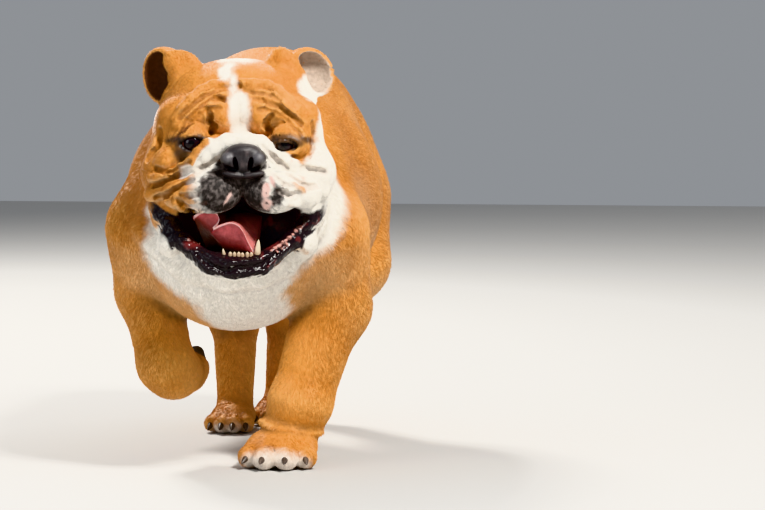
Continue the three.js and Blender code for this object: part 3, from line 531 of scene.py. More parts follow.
def whole(p):
    d = torso(p)
    close = np.flatnonzero(within(p, HEAD_LOW, HEAD_HIGH))
    if len(close):
        q = head_space(p[close])
        behind = heap(MOUTH, face_place(q), d[close])
        d[close] = join(behind, head(q), 10)
    return d


# Folds of the neck and chest, placed as seen from the front: (across, up)
BODY_FOLDS = []
for label, places, radius, stands in [
    ("ruff fold", [(98, 268), (92, 246), (82, 226), (64, 206)], 9, 4),
    ("throat fold", [(-62, 214), (-32, 198), (2, 190), (38, 194), (66, 206)], 9, 4),
    ("chest fold", [(-92, 244), (-74, 226), (-52, 208), (-30, 178)], 9, 4),
]:
    BODY_FOLDS += fold(torso, label, places, radius, stands, soft=12, straight=True)

COAT_DEPTH = 2.6  # how far the skin lies inside the coat's tips on the body
FACE_COAT_DEPTH = 0.8
EAR_COAT_DEPTH = 0.4


def ramp(value, low, high):
    t = np.clip((value - low) / (high - low), 0, 1)
    return t * t * (3 - 2 * t)


def on_ears(q):
    cups = np.minimum(heap(RIGHT_EAR[:1], q, spare=6), heap(LEFT_EAR[:1], q, spare=6))
    flaps = ramp(q[:, 2], 50, 66) * ramp(np.abs(q[:, 0]), 34, 44)
    flaps = flaps * ramp(-q[:, 1], -40, -25) * (q[:, 2] < 110)
    return np.maximum(flaps, ramp(-cups, -9, -4))


def coat_depth(p):
    q = head_space(p)
    on_face = np.clip((-20 - q[:, 1]) / 40, 0, 1) * np.clip((q[:, 2] + 150) / 20, 0, 1)
    depth = COAT_DEPTH + (FACE_COAT_DEPTH - COAT_DEPTH) * on_face
    return depth + (EAR_COAT_DEPTH - depth) * on_ears(q)


# Large odd numbers that scramble the three indices of a cell into one random value
SCRAMBLE_X, SCRAMBLE_Y, SCRAMBLE_Z, SCRAMBLE_ALL = 374761393, 668265263, 1274126177, 1103515245


def noise(p, size, seed=0):
    """Smooth random numbers from -1 to 1, the same for the same place."""
    q = np.asarray(p, float) / size + seed * 17.31
    cell = np.floor(q).astype(np.int64)
    f = q - cell
    f = f * f * (3 - 2 * f)
    total = np.zeros(len(q))
    for i in (0, 1):
        for j in (0, 1):
            for k in (0, 1):
                h = (cell[:, 0] + i) * SCRAMBLE_X + (cell[:, 1] + j) * SCRAMBLE_Y
                h = h + (cell[:, 2] + k) * SCRAMBLE_Z
                h = (h ^ (h >> 13)) * SCRAMBLE_ALL
                value = ((h ^ (h >> 16)) & 0xFFFF) / 32767.5 - 1
                w = (f[:, 0] if i else 1 - f[:, 0]) * (f[:, 1] if j else 1 - f[:, 1])
                total += value * w * (f[:, 2] if k else 1 - f[:, 2])
    return total


LIP_LUMP = 0.9
LIP_LUMP_SIZE = 5.5


def lumps(p):
    """Small unevenness of the bare lower lip."""
    q = head_space(p)
    near = np.flatnonzero(within(q, [-95, -125, -145], [95, -30, -55]))
    out = np.zeros(len(p))
    if len(near):
        lip = ramp(-heap(JAW[:3], mirrored(q[near]), spare=6), -5, 0)
        rough = noise(q[near], LIP_LUMP_SIZE, 51) + 0.5 * noise(q[near], LIP_LUMP_SIZE / 2, 52)
        out[near] = lip * LIP_LUMP * rough
    return out


def skin_field(p):
    d = heap(BODY_FOLDS, p, whole(p)) + coat_depth(p) + lumps(p)
    return np.maximum(d, 0.4 - p[:, 2])


# Meshing: a lattice with closer planes through the head and paws, and a surface net over it
def evaluate(field, p, chunk=60000):
    parts = [p[i:i + chunk] for i in range(0, len(p), chunk)]
    with ThreadPoolExecutor(4) as pool:
        return np.concatenate(list(pool.map(field, parts)))


def planes(*stops):
    """Lattice planes from a start through pairs of spacing and end."""
    out, at = [np.array([float(stops[0])])], stops[0]
    for step, end in zip(stops[1::2], stops[2::2]):
        count = max(1, int(round((end - at) / step)))
        out.append(np.linspace(at, end, count + 1)[1:])
        at = end
    return np.concatenate(out)


def lattice_values(field, axes, coarse=3):
    shape = [len(a) for a in axes]
    picks = [np.unique(np.append(np.arange(0, n, coarse), n - 1)) for n in shape]
    grid = np.meshgrid(*[a[i] for a, i in zip(axes, picks)], indexing="ij")
    grid = np.stack([g.ravel() for g in grid], 1)
    rough = evaluate(field, grid).reshape([len(i) for i in picks])
    cell = [np.searchsorted(i, np.arange(n), side="right") - 1 for i, n in zip(picks, shape)]
    values = rough[np.ix_(*cell)]
    step = coarse * max(np.diff(a).max() for a in axes)
    band = np.argwhere(np.abs(values) < step * 1.75)
    exact = evaluate(field, np.stack([axes[n][band[:, n]] for n in range(3)], 1))
    values[tuple(band.T)] = exact
    return values


def surface_net(field, axes, rounds=2):
    values = lattice_values(field, axes)
    inside = values < 0
    nx, ny, nz = values.shape
    corners = [(i, j, k) for i in (0, 1) for j in (0, 1) for k in (0, 1)]
    count = sum(inside[i:nx - 1 + i, j:ny - 1 + j, k:nz - 1 + k].astype(np.int8) for i, j, k in corners)
    cells = np.argwhere((count > 0) & (count < 8))
    ids = -np.ones((nx - 1, ny - 1, nz - 1), np.int64)
    ids[tuple(cells.T)] = np.arange(len(cells))
    total, hits = np.zeros((len(cells), 3)), np.zeros(len(cells))
    for a in range(3):
        for u in (0, 1):
            for w in (0, 1):
                start = cells.copy()
                start[:, (a + 1) % 3] += u
                start[:, (a + 2) % 3] += w
                end = start.copy()
                end[:, a] += 1
                v0, v1 = values[tuple(start.T)], values[tuple(end.T)]
                crosses = (v0 < 0) != (v1 < 0)
                t = np.where(crosses, v0 / np.where(v0 == v1, 1, v0 - v1), 0)
                p0 = np.stack([axes[n][start[:, n]] for n in range(3)], 1)
                p1 = np.stack([axes[n][end[:, n]] for n in range(3)], 1)
                total += np.where(crosses[:, None], p0 + t[:, None] * (p1 - p0), 0)
                hits += crosses
    verts = total / hits[:, None]
    quads = []
    for a in range(3):
        b, c = (a + 1) % 3, (a + 2) % 3
        first = [slice(None)] * 3
        second = [slice(None)] * 3
        first[a], second[a] = slice(0, -1), slice(1, None)
        i0, i1 = inside[tuple(first)], inside[tuple(second)]
        edges = np.argwhere(i0 != i1)
        edges = edges[(edges[:, b] > 0) & (edges[:, c] > 0)]
        edges = edges[(edges[:, b] < inside.shape[b] - 1) & (edges[:, c] < inside.shape[c] - 1)]
        ring = []
        for u, w in ((0, 0), (-1, 0), (-1, -1), (0, -1)):
            cell = edges.copy()
            cell[:, b] += u
            cell[:, c] += w
            ring.append(ids[tuple(cell.T)])
        ring = np.stack(ring, 1)
        outward_first = i0[tuple(edges.T)]
        ring[~outward_first] = ring[~outward_first][:, ::-1]
        quads.append(ring)
    quads = np.concatenate(quads)
    return settle(field, verts, min(np.diff(a).min() for a in axes) * 0.4, rounds), quads


def settle(field, verts, reach, rounds=2):
    """Moves points onto the surface where the field is zero, along its slope."""
    for _ in range(rounds):
        g = np.zeros_like(verts)
        d = evaluate(field, verts)
        for n, axis in enumerate(np.eye(3)):
            g[:, n] = (evaluate(field, verts + 0.3 * axis) - d) / 0.3
        move = -(d / np.maximum((g * g).sum(1), 0.1))[:, None] * g
        far = np.linalg.norm(move, axis=1)
        verts = verts + move * np.minimum(1, reach / np.maximum(far, 1e-9))[:, None]
    return verts


def refined(verts, faces, picked):
    """Splits the picked quads in four. A quad beside them becomes a fan of triangles, so that no gap opens.

    A triangle is kept as a quad whose last corner comes twice.
    """
    ahead = np.roll(faces, -1, axis=1)
    keys = np.minimum(faces, ahead) * len(verts) + np.maximum(faces, ahead)
    split, first = np.unique(keys[picked].ravel(), return_index=True)
    a, b = faces[picked].ravel()[first], ahead[picked].ravel()[first]
    where = np.clip(np.searchsorted(split, keys), 0, len(split) - 1)
    halved = split[where] == keys
    middle = len(verts) + where
    beside = ~picked & halved.any(1)
    centred = picked | beside
    centre = np.cumsum(centred) - 1 + len(verts) + len(split)
    points = np.concatenate([verts, (verts[a] + verts[b]) / 2, verts[faces[centred]].mean(1)])
    made = [faces[~centred]]
    for k in range(4):
        quarter = [faces[picked, k], middle[picked, k], centre[picked], middle[picked, k - 1]]
        made.append(np.stack(quarter, 1))
        for whole_edge in (True, False):
            rows = beside & (halved[:, k] != whole_edge)
            start, end, mid, c = faces[rows, k], ahead[rows, k], middle[rows, k], centre[rows]
            made += [np.stack([start, end, c, c], 1)] if whole_edge else [
                np.stack([start, mid, c, c], 1), np.stack([mid, end, c, c], 1)]
    return points, np.concatenate(made)


def vertex_normals(verts, faces):
    a, b = verts[faces[:, 2]] - verts[faces[:, 0]], verts[faces[:, -1]] - verts[faces[:, 1]]
    face = np.cross(a, b)
    normal = np.zeros_like(verts)
    for k in range(faces.shape[1]):
        np.add.at(normal, faces[:, k], face)
    return normal / np.maximum(np.linalg.norm(normal, axis=1), 1e-9)[:, None]


def new_piece(name, verts, faces, colours=None, smooth=True, extra=None):
    """A mesh object from arrays in the dog's millimetres."""
    mesh = bpy.data.meshes.new(name)
    faces = np.asarray(faces, np.int32)
    used = np.ones(faces.shape, bool)
    used[:, -1] = faces[:, -1] != faces[:, -2]
    ends = np.cumsum(used.sum(1))
    mesh.vertices.add(len(verts))
    mesh.vertices.foreach_set("co", row_place(verts).astype(np.float32).ravel())
    mesh.loops.add(int(ends[-1]))
    mesh.loops.foreach_set("vertex_index", faces[used])
    mesh.polygons.add(len(faces))
    mesh.polygons.foreach_set("loop_start", np.append(0, ends[:-1]).astype(np.int32))
    mesh.polygons.foreach_set("use_smooth", np.full(len(faces), smooth))
    mesh.update(calc_edges=True)
    if colours is not None:
        layer = mesh.color_attributes.new("colour", "FLOAT_COLOR", "POINT")
        layer.data.foreach_set("color", np.c_[colours, np.ones(len(verts))].astype(np.float32).ravel())
    for key, values in (extra or {}).items():
        mesh.attributes.new(key, "FLOAT", "POINT").data.foreach_set("value", values.astype(np.float32))
    piece = bpy.data.objects.new(name, mesh)
    bpy.context.scene.collection.objects.link(piece)
    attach(piece, "root")
    return piece


# Colours, in linear light
FAWN = np.array([0.58, 0.250, 0.058])
DEEP_FAWN = np.array([0.33, 0.105, 0.020])
# Painted highlight: the golden colour laid on the ridges of the coloured coat
RIDGE_HIGHLIGHT_GOLD = np.array([0.76, 0.42, 0.14])
CREAM = np.array([0.78, 0.50, 0.26])
WHITE = np.array([0.88, 0.84, 0.77])
PINK_WHITE = np.array([0.80, 0.56, 0.50])
BLACK = np.array([0.014, 0.012, 0.013])
LIP = np.array([0.013, 0.008, 0.010])
GUM = np.array([0.20, 0.035, 0.035])
KNOB_PINK = np.array([0.46, 0.23, 0.20])
MUZZLE_GREY = np.array([0.10, 0.085, 0.08])
EAR_BROWN = np.array([0.085, 0.032, 0.016])
EAR_GREY = np.array([0.42, 0.34, 0.28])
PAD_BLACK = np.array([0.03, 0.027, 0.026])
# Darker hair and painted shade in the creases of the face, on coloured and on white coat
FURROW_HAIR_AND_SHADE = np.array([0.085, 0.022, 0.008])
WHITE_FURROW_HAIR_AND_SHADE = np.array([0.62, 0.50, 0.43])


def blend(base, colour, weight):
    return base + (colour - base) * weight[:, None]


def patch(masses, q, edge, ragged=0.0):
    """1 inside the masses and 0 outside, with a soft ragged edge."""
    d = heap(masses, q, spare=12)
    return ramp(-(d + ragged), -edge, edge)


WHITE_FACE = [
    egg("blaze", [-2, -80, 28], [11.5, 70, 25], 6),
    egg("blaze neck", [-8, -60, 57], [3.5, 70, 9], 3),
    egg("crown low", [-15, -20, 70], [7.5, 60, 11], 5, [0, 15, 0]),
    egg("crown high", [3, -10, 87], [27, 70, 9], 5, [0, -8, 0]),
    egg("muzzle", [4, -95, -48], [60, 40, 38], 6),
    egg("right cheek", [86, -50, -38], [32, 70, 40], 6),
    egg("behind right eye", [90, -40, 14], [15.5, 60, 48], 6, [0, 8, 0]),
    egg("below right ear", [72, -30, 56], [14, 60, 15], 6),
    egg("chin", [0, -70, -128], [90, 70, 26], 6),
    egg("right lip", [60, -80, -60], [20, 40, 18], 6),
    egg("jaw edge", [-76, -60, -100], [16, 50, 22], 6, [0, 30, 0]),
    egg("right jaw edge", [74, -50, -90], [24, 50, 28], 6),
]
ORANGE_FACE = [
    egg("crown patch", [15, -20, 70], [20, 50, 8], 4, [0, -8, 0]),
    egg("eye patch", [56, -70, -7], [15, 40, 11], 4, [0, 10, 0]),
]
DARK_MUZZLE = [
    egg("nose side", [0, -112, -20], [27, 26, 15], 4),
    egg("mask left", [-18, -110, -48], [24, 26, 26], 6, [0, 14, 0]),
    egg("mask right", [12, -112, -48], [18, 26, 28], 6, [0, -6, 0]),
    egg("freckled side", [34, -108, -52], [7, 26, 12], 3, [0, 10, 0]),
]
PINK_SPOTS = [
    egg("spot", [24.5, -112, -48], [5.2, 30, 8.5], 0, [0, 10, 0]),
    egg("spot", [31, -110, -39], [3.2, 30, 6.5], 1, [0, -20, 0]),
    egg("spot", [25.5, -110, -61], [4.6, 30, 5], 1),
    egg("streak", [-14, -112, -57], [1.2, 30, 6.5], 0, [0, 35, 0]),
]
SPOT_DOTS = [
    egg("dot", [25, -112, -50.5], [1.3, 30, 1.3], 0),
    egg("dot", [25, -112, -60.5], [1.2, 30, 1.2], 0),
]
RED_GUM = [
    egg("gum", [25, -96, -98], [11, 20, 8], 0, [0, 20, 0]),
    egg("gum", [-45, -90, -101], [11, 20, 4], 3, [0, -12, 0]),
]
EYE_RIMS = [
    egg("rim", [-48, -84, -2], [17, 14, 10], 3, [0, -8, 0]),
    egg("rim", [46, -84, 1], [17, 14, 8], 3, [0, 8, 0]),
    egg("rim tail", [-66, -72, 3], [10, 20, 4], 3, [0, -10, 0]),
    egg("rim tail", [64, -72, 3], [10, 20, 4], 3, [0, 10, 0]),
    egg("haw shade", [-60, -80, -12], [8, 14, 8], 3, [0, 30, 0]),
]
# Painted shade in the pits of the brow
BROW_PIT_SHADE = [
    egg("brow mark", [-32, -84, 20], [6, 18, 10], 3, [0, -20, 0]),
    egg("brow mark", [31, -84, 20], [6, 18, 9], 3, [0, 20, 0]),
]
WHITE_BODY = [
    egg("chest", [-2, -110, 212], [78, 70, 52], 12),
    egg("chest left", [-62, -104, 212], [32, 40, 32], 12),
    egg("breast", [16, -70, 160], [46, 60, 34], 12),
    egg("throat", [12, -110, 222], [86, 40, 30], 12),
    egg("ruff low", [92, -92, 262], [30, 44, 50], 10, [0, 20, 0]),
    egg("ruff high", [96, -84, 330], [26, 44, 66], 10, [0, -14, 0]),
    egg("ruff left", [-70, -110, 246], [10, 26, 48], 10, [0, -24, 0]),
]
WHITE_FEET = [
    egg("planted toes", [48, -92, 4], [46, 28, 17], 6),
    egg("hind toe tips", [-47, 216, 2], [34, 14, 10], 6),
    egg("hind toe tips", [-8, 290, 2], [34, 14, 10], 6),
]
PADS = [
    egg("pad", [-58, 24, 104], [22, 22, 12], 4),
    egg("toe pads", [-52, 46, 108], [24, 12, 10], 4),
]


def markings(p, normals):
    """Colour, wetness and hair at points of the skin or the coat's roots."""
    q = head_space(p)
    wide, fine = noise(p, 38, 1), noise(p, 7, 2)
    ragged = 2.2 * noise(p, 9, 3) + 1.2 * noise(p, 3, 4)
    colour = blend(np.tile(FAWN, (len(p), 1)), DEEP_FAWN, np.clip(0.24 + 0.30 * wide + 0.05 * fine, 0, 1))
    # paler under the body and inside the legs
    under = ramp(-normals[:, 2], 0.1, 0.9) * ramp(p[:, 2], 110, 170)
    colour = blend(colour, CREAM, 0.75 * under)
    colour = blend(colour, CREAM, 0.22 * ramp(noise(p, 60, 5), 0.1, 0.9))
    colour = blend(colour, WHITE, patch(WHITE_BODY, p, 7, ragged * 1.5))
    colour = blend(colour, WHITE, 0.8 * patch(WHITE_FEET, p, 7, ragged * 1.5))
    hair, wet = np.ones(len(p)), np.zeros(len(p))

    front = np.flatnonzero(within(q, [-112, -150, -150], [115, 40, 110]))
    f, n = q[front], normals[front] @ HEAD_TURN.T
    c, h, w, r = colour[front], hair[front], wet[front], ragged[front]
    seen = seen_from_camera(f)
    c = blend(c, WHITE, patch(WHITE_FACE, seen, 3.5, r))
    c = blend(c, FAWN, patch(ORANGE_FACE, seen, 3, r))
    roll = ramp(-heap(NOSE_ROLL, f, spare=5) - 0.3 * r, -3.2, -0.8) * ramp(f[:, 0], -57, -50)
    c = blend(c, WHITE, roll)
    # painted shade in the brow pits
    c = blend(c, BLACK, 0.45 * patch(BROW_PIT_SHADE, seen, 4, r))
    rims = patch(EYE_RIMS, seen, 3, 0.4 * r)
    c = blend(c, BLACK, 0.85 * rims)
    below_roll = ramp(-roll, -0.6, -0.1)
    dark = patch(DARK_MUZZLE, seen, 4, 1.8 * r) * below_roll
    grain = ramp(noise(f, 2.6, 6) + 0.6 * noise(f, 1.4, 7), -0.2, 0.7)
    c = blend(c, MUZZLE_GREY * (0.25 + 1.1 * grain[:, None]), dark)
    flew = patch([egg("flews", [0, -104, -50], [64, 30, 34], 0)], seen, 6, r) * below_roll
    freckle = ramp(noise(f, 3.4, 8) + 0.5 * noise(f, 1.7, 9), 0.2, 0.7)
    freckle = freckle * ramp(-np.abs(seen[:, 0] + 4), -56, -30)
    c = blend(c, BLACK, flew * freckle * 0.75 * (1 - dark))
    c = blend(c, PINK_WHITE, patch(PINK_SPOTS, seen, 1.2, 0.7 * r))
    c = blend(c, BLACK, patch(SPOT_DOTS, seen, 0.8, 0.2 * r))
    # the dark lines in the furrows: darker hair and painted shade in the creases
    for chain, strength in FURROW_LINES:
        line = heap([{**mass, "cut": False} for mass in chain], f, spare=3)
        white_there = ramp(c[:, 2], 0.25, 0.6)
        crease_hair_and_shade = FURROW_HAIR_AND_SHADE + (WHITE_FURROW_HAIR_AND_SHADE - FURROW_HAIR_AND_SHADE) * white_there[:, None]
        c = blend(c, crease_hair_and_shade, strength * ramp(-line - 0.1 * r, -1.5, 0.3))
    for side in (-1, 1):
        eye = f - EYE_AT[side]
        reach = np.linalg.norm(eye * [0.8, 1, 1.1], axis=1)
        lid = ramp(-reach - 0.3 * r, -EYE_RADIUS - 4.5, -EYE_RADIUS - 1.5) * ramp(-eye[:, 1], 2, 6)
        rims[:] = np.maximum(rims, lid)
        c = blend(c, BLACK, 0.92 * lid)
    # bare skin: lips, mouth, inner ears
    mouth, half = MOUTH[0], face_place(f)
    wall = np.abs(egg_distance(mouth, half))
    facing = -((half - mouth["at"]) * np.stack([n[:, 0] * np.sign(f[:, 0]), n[:, 1], n[:, 2]], 1)).sum(1)
    facing = facing / np.maximum(np.linalg.norm(half - mouth["at"], axis=1), 1)
    deeper = ramp(-egg_distance(mouth, half), -2.5, -0.5)
    on_flew = ramp(-heap(FLEWS, half, spare=6), -5, -3) * ramp(-n[:, 1], 0.05, 0.4)
    on_flew = on_flew * ramp(f[:, 2], -80, -72)
    inside = np.maximum(deeper, ramp(-wall, -7, -4) * ramp(facing, 0.55, 0.8)) * ramp(-f[:, 2], 36, 46)
    on_wall = ramp(-heap(JAW_WALL, mirrored(f), spare=8), -5, -3)
    on_wall = on_wall * ramp(np.sign(f[:, 0]) * n[:, 0] - 0.5 * n[:, 1] - 0.6 * n[:, 2], 0.1, 0.5)
    inside = inside * (1 - on_flew) * (1 - on_wall)
    lip = ramp(-heap(JAW[:3], mirrored(f), spare=6), -4.5, -2.0)
    lip = lip * ramp(n[:, 2] - 0.9 * n[:, 1] + 0.25 * ramp(-np.abs(f[:, 0]), -50, -20), -0.25, 0.1)
    lip = lip * ramp(-np.abs(f[:, 0]) - 0.8 * r, -92, -82) * ramp(-f[:, 1], 44, 56)
    rim = np.maximum(inside, lip)
    c = blend(c, LIP, rim)
    low_lip = rim * ramp(-f[:, 2], 66, 78)
    blotch = ramp(noise(f, 7, 14) + 0.3 * noise(f, 3, 10), 0.35, 0.9)
    c = blend(c, GUM, low_lip * blotch * 0.45 * ramp(f[:, 0], 6, 34))
    c = blend(c, GUM, 0.6 * low_lip * patch(RED_GUM, seen, 3, r))
    c = blend(c, KNOB_PINK, lip * ramp(0.5 - heap(PAPILLAE, f, spare=3), -0.3, 0.9))
    inner_right, inner_left = (
        ramp(heap(ear[:1], f, spare=4), 4, 1.5) * ramp(-((f - ear[0]["at"]) * n).sum(1), 2, 8)
        for ear in (RIGHT_EAR, LEFT_EAR))
    c = blend(c, EAR_BROWN, inner_right)
    c = blend(c, EAR_GREY, inner_left)
    h = h * (1 - rim) * (1 - 0.75 * inner_right) * (1 - 0.75 * inner_left) * (1 - 0.8 * rims)
    w = np.maximum(w, rim)
    w = np.maximum(w, 0.5 * rims)
    colour[front], hair[front], wet[front] = c, h, w

    bare = patch(PADS, p, 2, 0.3 * ragged)
    colour = blend(colour, PAD_BLACK, bare)
    hair = hair * (1 - bare)
    return np.clip(colour, 0, 1), wet, hair


# The skin
FINE, BROAD = ((2.0, 4.4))  # lattice spacing on the head and paws, and elsewhere
skin_axes = [
    planes(-158, BROAD, -98, FINE, 124, BROAD, 158),
    planes(-232, FINE, -66, BROAD, 404),
    planes(-2, BROAD * 0.8, 56, BROAD, 192, FINE, 436),
]
skin_points, skin_faces = surface_net(skin_field, skin_axes)
middles = skin_points[skin_faces].mean(1)
q_middles = head_space(middles)
close_up = within(q_middles, [-108, -150, -140], [98, -40, 62]) | (on_ears(q_middles) > 0.1)
near_floor = middles[:, 2] < 34
lifted_paw = (middles[:, 1] > 20) & (middles[:, 1] < 62) & (middles[:, 2] < 112)
close_up |= near_floor | lifted_paw
skin_points, skin_faces = refined(skin_points, skin_faces, close_up)
skin_points = settle(skin_field, skin_points, FINE * 0.35, rounds=3)
skin_normals = vertex_normals(skin_points, skin_faces)
skin_colour, skin_wet, skin_hair = markings(skin_points, skin_normals)


def hollows(verts, faces, normals, rounds=4):
    """How far each point lies below its neighbours' mean along its normal, in millimetres."""
    smooth = verts.copy()
    edges = np.concatenate([faces[:, [k, (k + 1) % 4]] for k in range(4)])
    count = np.bincount(edges[:, 0], minlength=len(verts)) + np.bincount(edges[:, 1], minlength=len(verts))
    for _ in range(rounds):
        total = np.zeros_like(smooth)
        for n in range(3):
            total[:, n] = np.bincount(edges[:, 0], smooth[edges[:, 1], n], len(verts))
            total[:, n] += np.bincount(edges[:, 1], smooth[edges[:, 0], n], len(verts))
        smooth = total / np.maximum(count, 1)[:, None]
    return ((smooth - verts) * normals).sum(1)


FULL_SHADE = 0.9  # a hollow this deep is shaded fully
skin_hollow = hollows(skin_points, skin_faces, skin_normals)
shade = np.clip(skin_hollow / FULL_SHADE, -0.6, 1)


def shaded(colours, hollow):
    """Painted shade in the hollows and a painted golden highlight on the ridges of the coloured coat."""
    coloured = ramp(colours[:, 0] - 1.6 * colours[:, 2], 0.1, 0.35)
    colours = blend(colours, RIDGE_HIGHLIGHT_GOLD, 0.75 * np.maximum(-hollow, 0) * coloured)
    return colours * (1 - 0.55 * np.maximum(hollow, 0) + 0.12 * np.maximum(-hollow, 0))[:, None]


skin_colour = shaded(skin_colour, shade)

FLESH = ["head", "lower_jaw", "left_ear", "right_ear", "neck", "trunk", "tail"]
FLESH += [f"{side}_{part}" for side in ("left", "right") for part in
          ("upper_arm", "forearm", "forepaw", "thigh", "hind_lower_leg", "hindpaw")]
skin = new_piece("skin", skin_points, skin_faces, skin_colour, extra={"wet": skin_wet, "hair": skin_hair})
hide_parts(*FLESH)


# The coat: short tufts, each a closed sliver with a root edge, a ridge and a tip
HEAD_MIDDLE = np.array([0, -15, -10])
NOSE_POINT = np.array([0, -128, -16])
MOST_TUFTS = 45000  # in one piece
LEAST_HAIR = 0.3  # skin with less than this bears no tufts
LOWEST_ROOT, LOWEST_TIP, LOWEST_POINT = 1.2, 0.6, 0.3  # over the floor
ROOT_DEPTH = 0.25  # how far a tuft's root edge is inside the skin
SHORTENED = 0.55  # what is left of a tuft that runs into something
MAP_PATCH = 0.0015  # half of a tuft's patch on the OFBake map
MAP_EDGE = 0.004
STRAY_SHARE, STRAY_LIFT = 0.025, 0.12  # the few tufts that stand up, and by how many radians


def lie_of_coat(p, normals):
    """The way the hair lies at each root, along the skin."""
    q = head_space(p)
    lie = np.tile([0.0, 1.0, -0.45], (len(p), 1))
    chest = ramp(-p[:, 1], -10, 70)
    back_and_down = np.full(len(p), -0.9)
    lie += chest[:, None] * np.stack([0.25 * np.sign(p[:, 0]), back_and_down, back_and_down], 1)
    leg = ramp(-p[:, 2], -185, -120)
    lie = lie * (1 - leg[:, None]) + leg[:, None] * np.array([0, 0.25, -1.0])
    away = (q - NOSE_POINT) @ HEAD_TURN
    away /= np.maximum(np.linalg.norm(away, axis=1), 1e-6)[:, None]
    on_head = ramp(-q[:, 1], -40, 10) * ramp(q[:, 2], -160, -120) * ramp(-np.abs(q[:, 0]), -125, -105)
    lie = lie * (1 - on_head[:, None]) + on_head[:, None] * (away + [0, 0, -0.1])
    swirl = np.stack([noise(p, 45, 11), noise(p, 45, 12), noise(p, 45, 13)], 1)
    lie = lie / np.linalg.norm(lie, axis=1)[:, None] + 0.14 * swirl
    lie -= (lie * normals).sum(1)[:, None] * normals
    return lie / np.maximum(np.linalg.norm(lie, axis=1), 1e-6)[:, None]


# Tufts of each region: how many on a square millimetre, their length and their width
BODY_TUFTS = (0.35, 6.2, 0.98)
SKULL_TUFTS = (0.55, 5.0, 0.8)
LEG_TUFTS = (0.5, 5.2, 0.85)
PAW_TUFTS = (0.75, 3.8, 0.7)
FACE_TUFTS = (0.98, 2.9, 0.52)
EAR_TUFTS = (0.9, 2.8, 0.5)
FEWER, LONGER, WIDER = ((1, 1, 1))


def tuft_sizes(p):
    """Density, length and width of the tufts at places of the skin."""
    q = head_space(p)
    face = ramp(-q[:, 1], 5, 55) * ramp(q[:, 2], -150, -125)
    skull_part = ramp(-q[:, 1], -45, -5) * ramp(q[:, 2], -130, -90)
    leg = ramp(-p[:, 2], -190, -120)
    paw = ramp(-p[:, 2], -70, -45)
    sizes = np.tile(BODY_TUFTS, (len(p), 1))
    for there, tufts in ((skull_part, SKULL_TUFTS), (leg, LEG_TUFTS), (paw, PAW_TUFTS),
                         (face, FACE_TUFTS), (on_ears(q), EAR_TUFTS)):
        sizes = blend(sizes, np.array(tufts), there)
    return sizes.T


def roots_on(verts, faces, density):
    """Random places on a mesh of quads: the quad, and the weights of its corners."""
    a, b, c, d = (verts[faces[:, k]] for k in range(4))
    area = np.linalg.norm(np.cross(c - a, d - b), axis=1) / 2
    many = DICE.poisson(area * density)
    quad = np.repeat(np.arange(len(faces)), many)
    u, w = DICE.random(len(quad)), DICE.random(len(quad))
    weight = np.stack([(1 - u) * (1 - w), u * (1 - w), u * w, (1 - u) * w], 1)
    return quad, weight


# What the maps are wrapped about: the trunk's height, front and length, and the middle of each leg
TRUNK_UP, TRUNK_FRONT, TRUNK_LENGTH = 265, -135, 540
HIND_FROM = 120  # where the hind legs' share of the map begins
LEG_TOP = 200
LEFT_FORE_ACROSS, RIGHT_FORE_ACROSS, FORE_DEEP = 72, -74, -14
LEFT_HIND_ACROSS, RIGHT_HIND_ACROSS, LEFT_HIND_DEEP, RIGHT_HIND_DEEP = 0, -58, 340, 275
HIND_PARTING = -28  # between the two hind legs


def unwrap(p, region):
    """Places on the map: a ball about the head, a drum about the trunk, and four drums about the legs."""
    if region == "head":
        q = head_space(p) - HEAD_MIDDLE
        u = 0.5 + np.arctan2(q[:, 0], -q[:, 1]) / (2 * pi)
        v = 0.5 + np.arctan2(q[:, 2], np.hypot(q[:, 0], q[:, 1])) / pi
    elif region == "body":
        u = 0.5 + np.arctan2(p[:, 0], p[:, 2] - TRUNK_UP) / (2 * pi)
        v = (p[:, 1] - TRUNK_FRONT) / TRUNK_LENGTH
    else:
        hind = p[:, 1] > HIND_FROM
        left = p[:, 0] > np.where(hind, HIND_PARTING, 0)
        middle = np.where(hind, np.where(left, LEFT_HIND_ACROSS, RIGHT_HIND_ACROSS),
                          np.where(left, LEFT_FORE_ACROSS, RIGHT_FORE_ACROSS))
        deep = np.where(hind, np.where(left, LEFT_HIND_DEEP, RIGHT_HIND_DEEP), FORE_DEEP)
        u = (0.5 + np.arctan2(p[:, 0] - middle, deep - p[:, 1]) / (2 * pi)) * 0.5 + 0.5 * left
        v = np.clip(p[:, 2] / LEG_TOP, 0, 1) * 0.5 + 0.5 * hind
    return np.clip(np.stack([u, v], 1), MAP_EDGE, 1 - MAP_EDGE)


tuft_density = tuft_sizes(skin_points[skin_faces[:, 0]])[0] * FEWER
quad, weight = roots_on(skin_points, skin_faces, tuft_density)
corner = skin_faces[quad]
roots = (skin_points[corner] * weight[:, :, None]).sum(1)
root_normals = (skin_normals[corner] * weight[:, :, None]).sum(1)
root_normals /= np.maximum(np.linalg.norm(root_normals, axis=1), 1e-6)[:, None]
root_shade = (shade[corner] * weight).sum(1)
hair_there = (skin_hair[corner] * weight).sum(1)
in_furrow = ramp(root_shade, 0.25, 0.9)
chance = hair_there ** 1.5 * (1 - 0.85 * in_furrow)
drawn = DICE.random(len(roots)) < chance
kept = np.flatnonzero(drawn & (hair_there > LEAST_HAIR) & (roots[:, 2] > LOWEST_ROOT))
roots, root_normals, root_shade = roots[kept], root_normals[kept], root_shade[kept]
tuft_colour, _, _ = markings(roots, root_normals)
tuft_colour = shaded(tuft_colour, root_shade)
_, length, width = tuft_sizes(roots)
length = length * DICE.uniform(0.7, 1.2, len(roots)) * LONGER
length = length * (1 - 0.45 * np.clip(root_shade, 0, 1))
width = width * DICE.uniform(0.7, 1.25, len(roots)) * WIDER
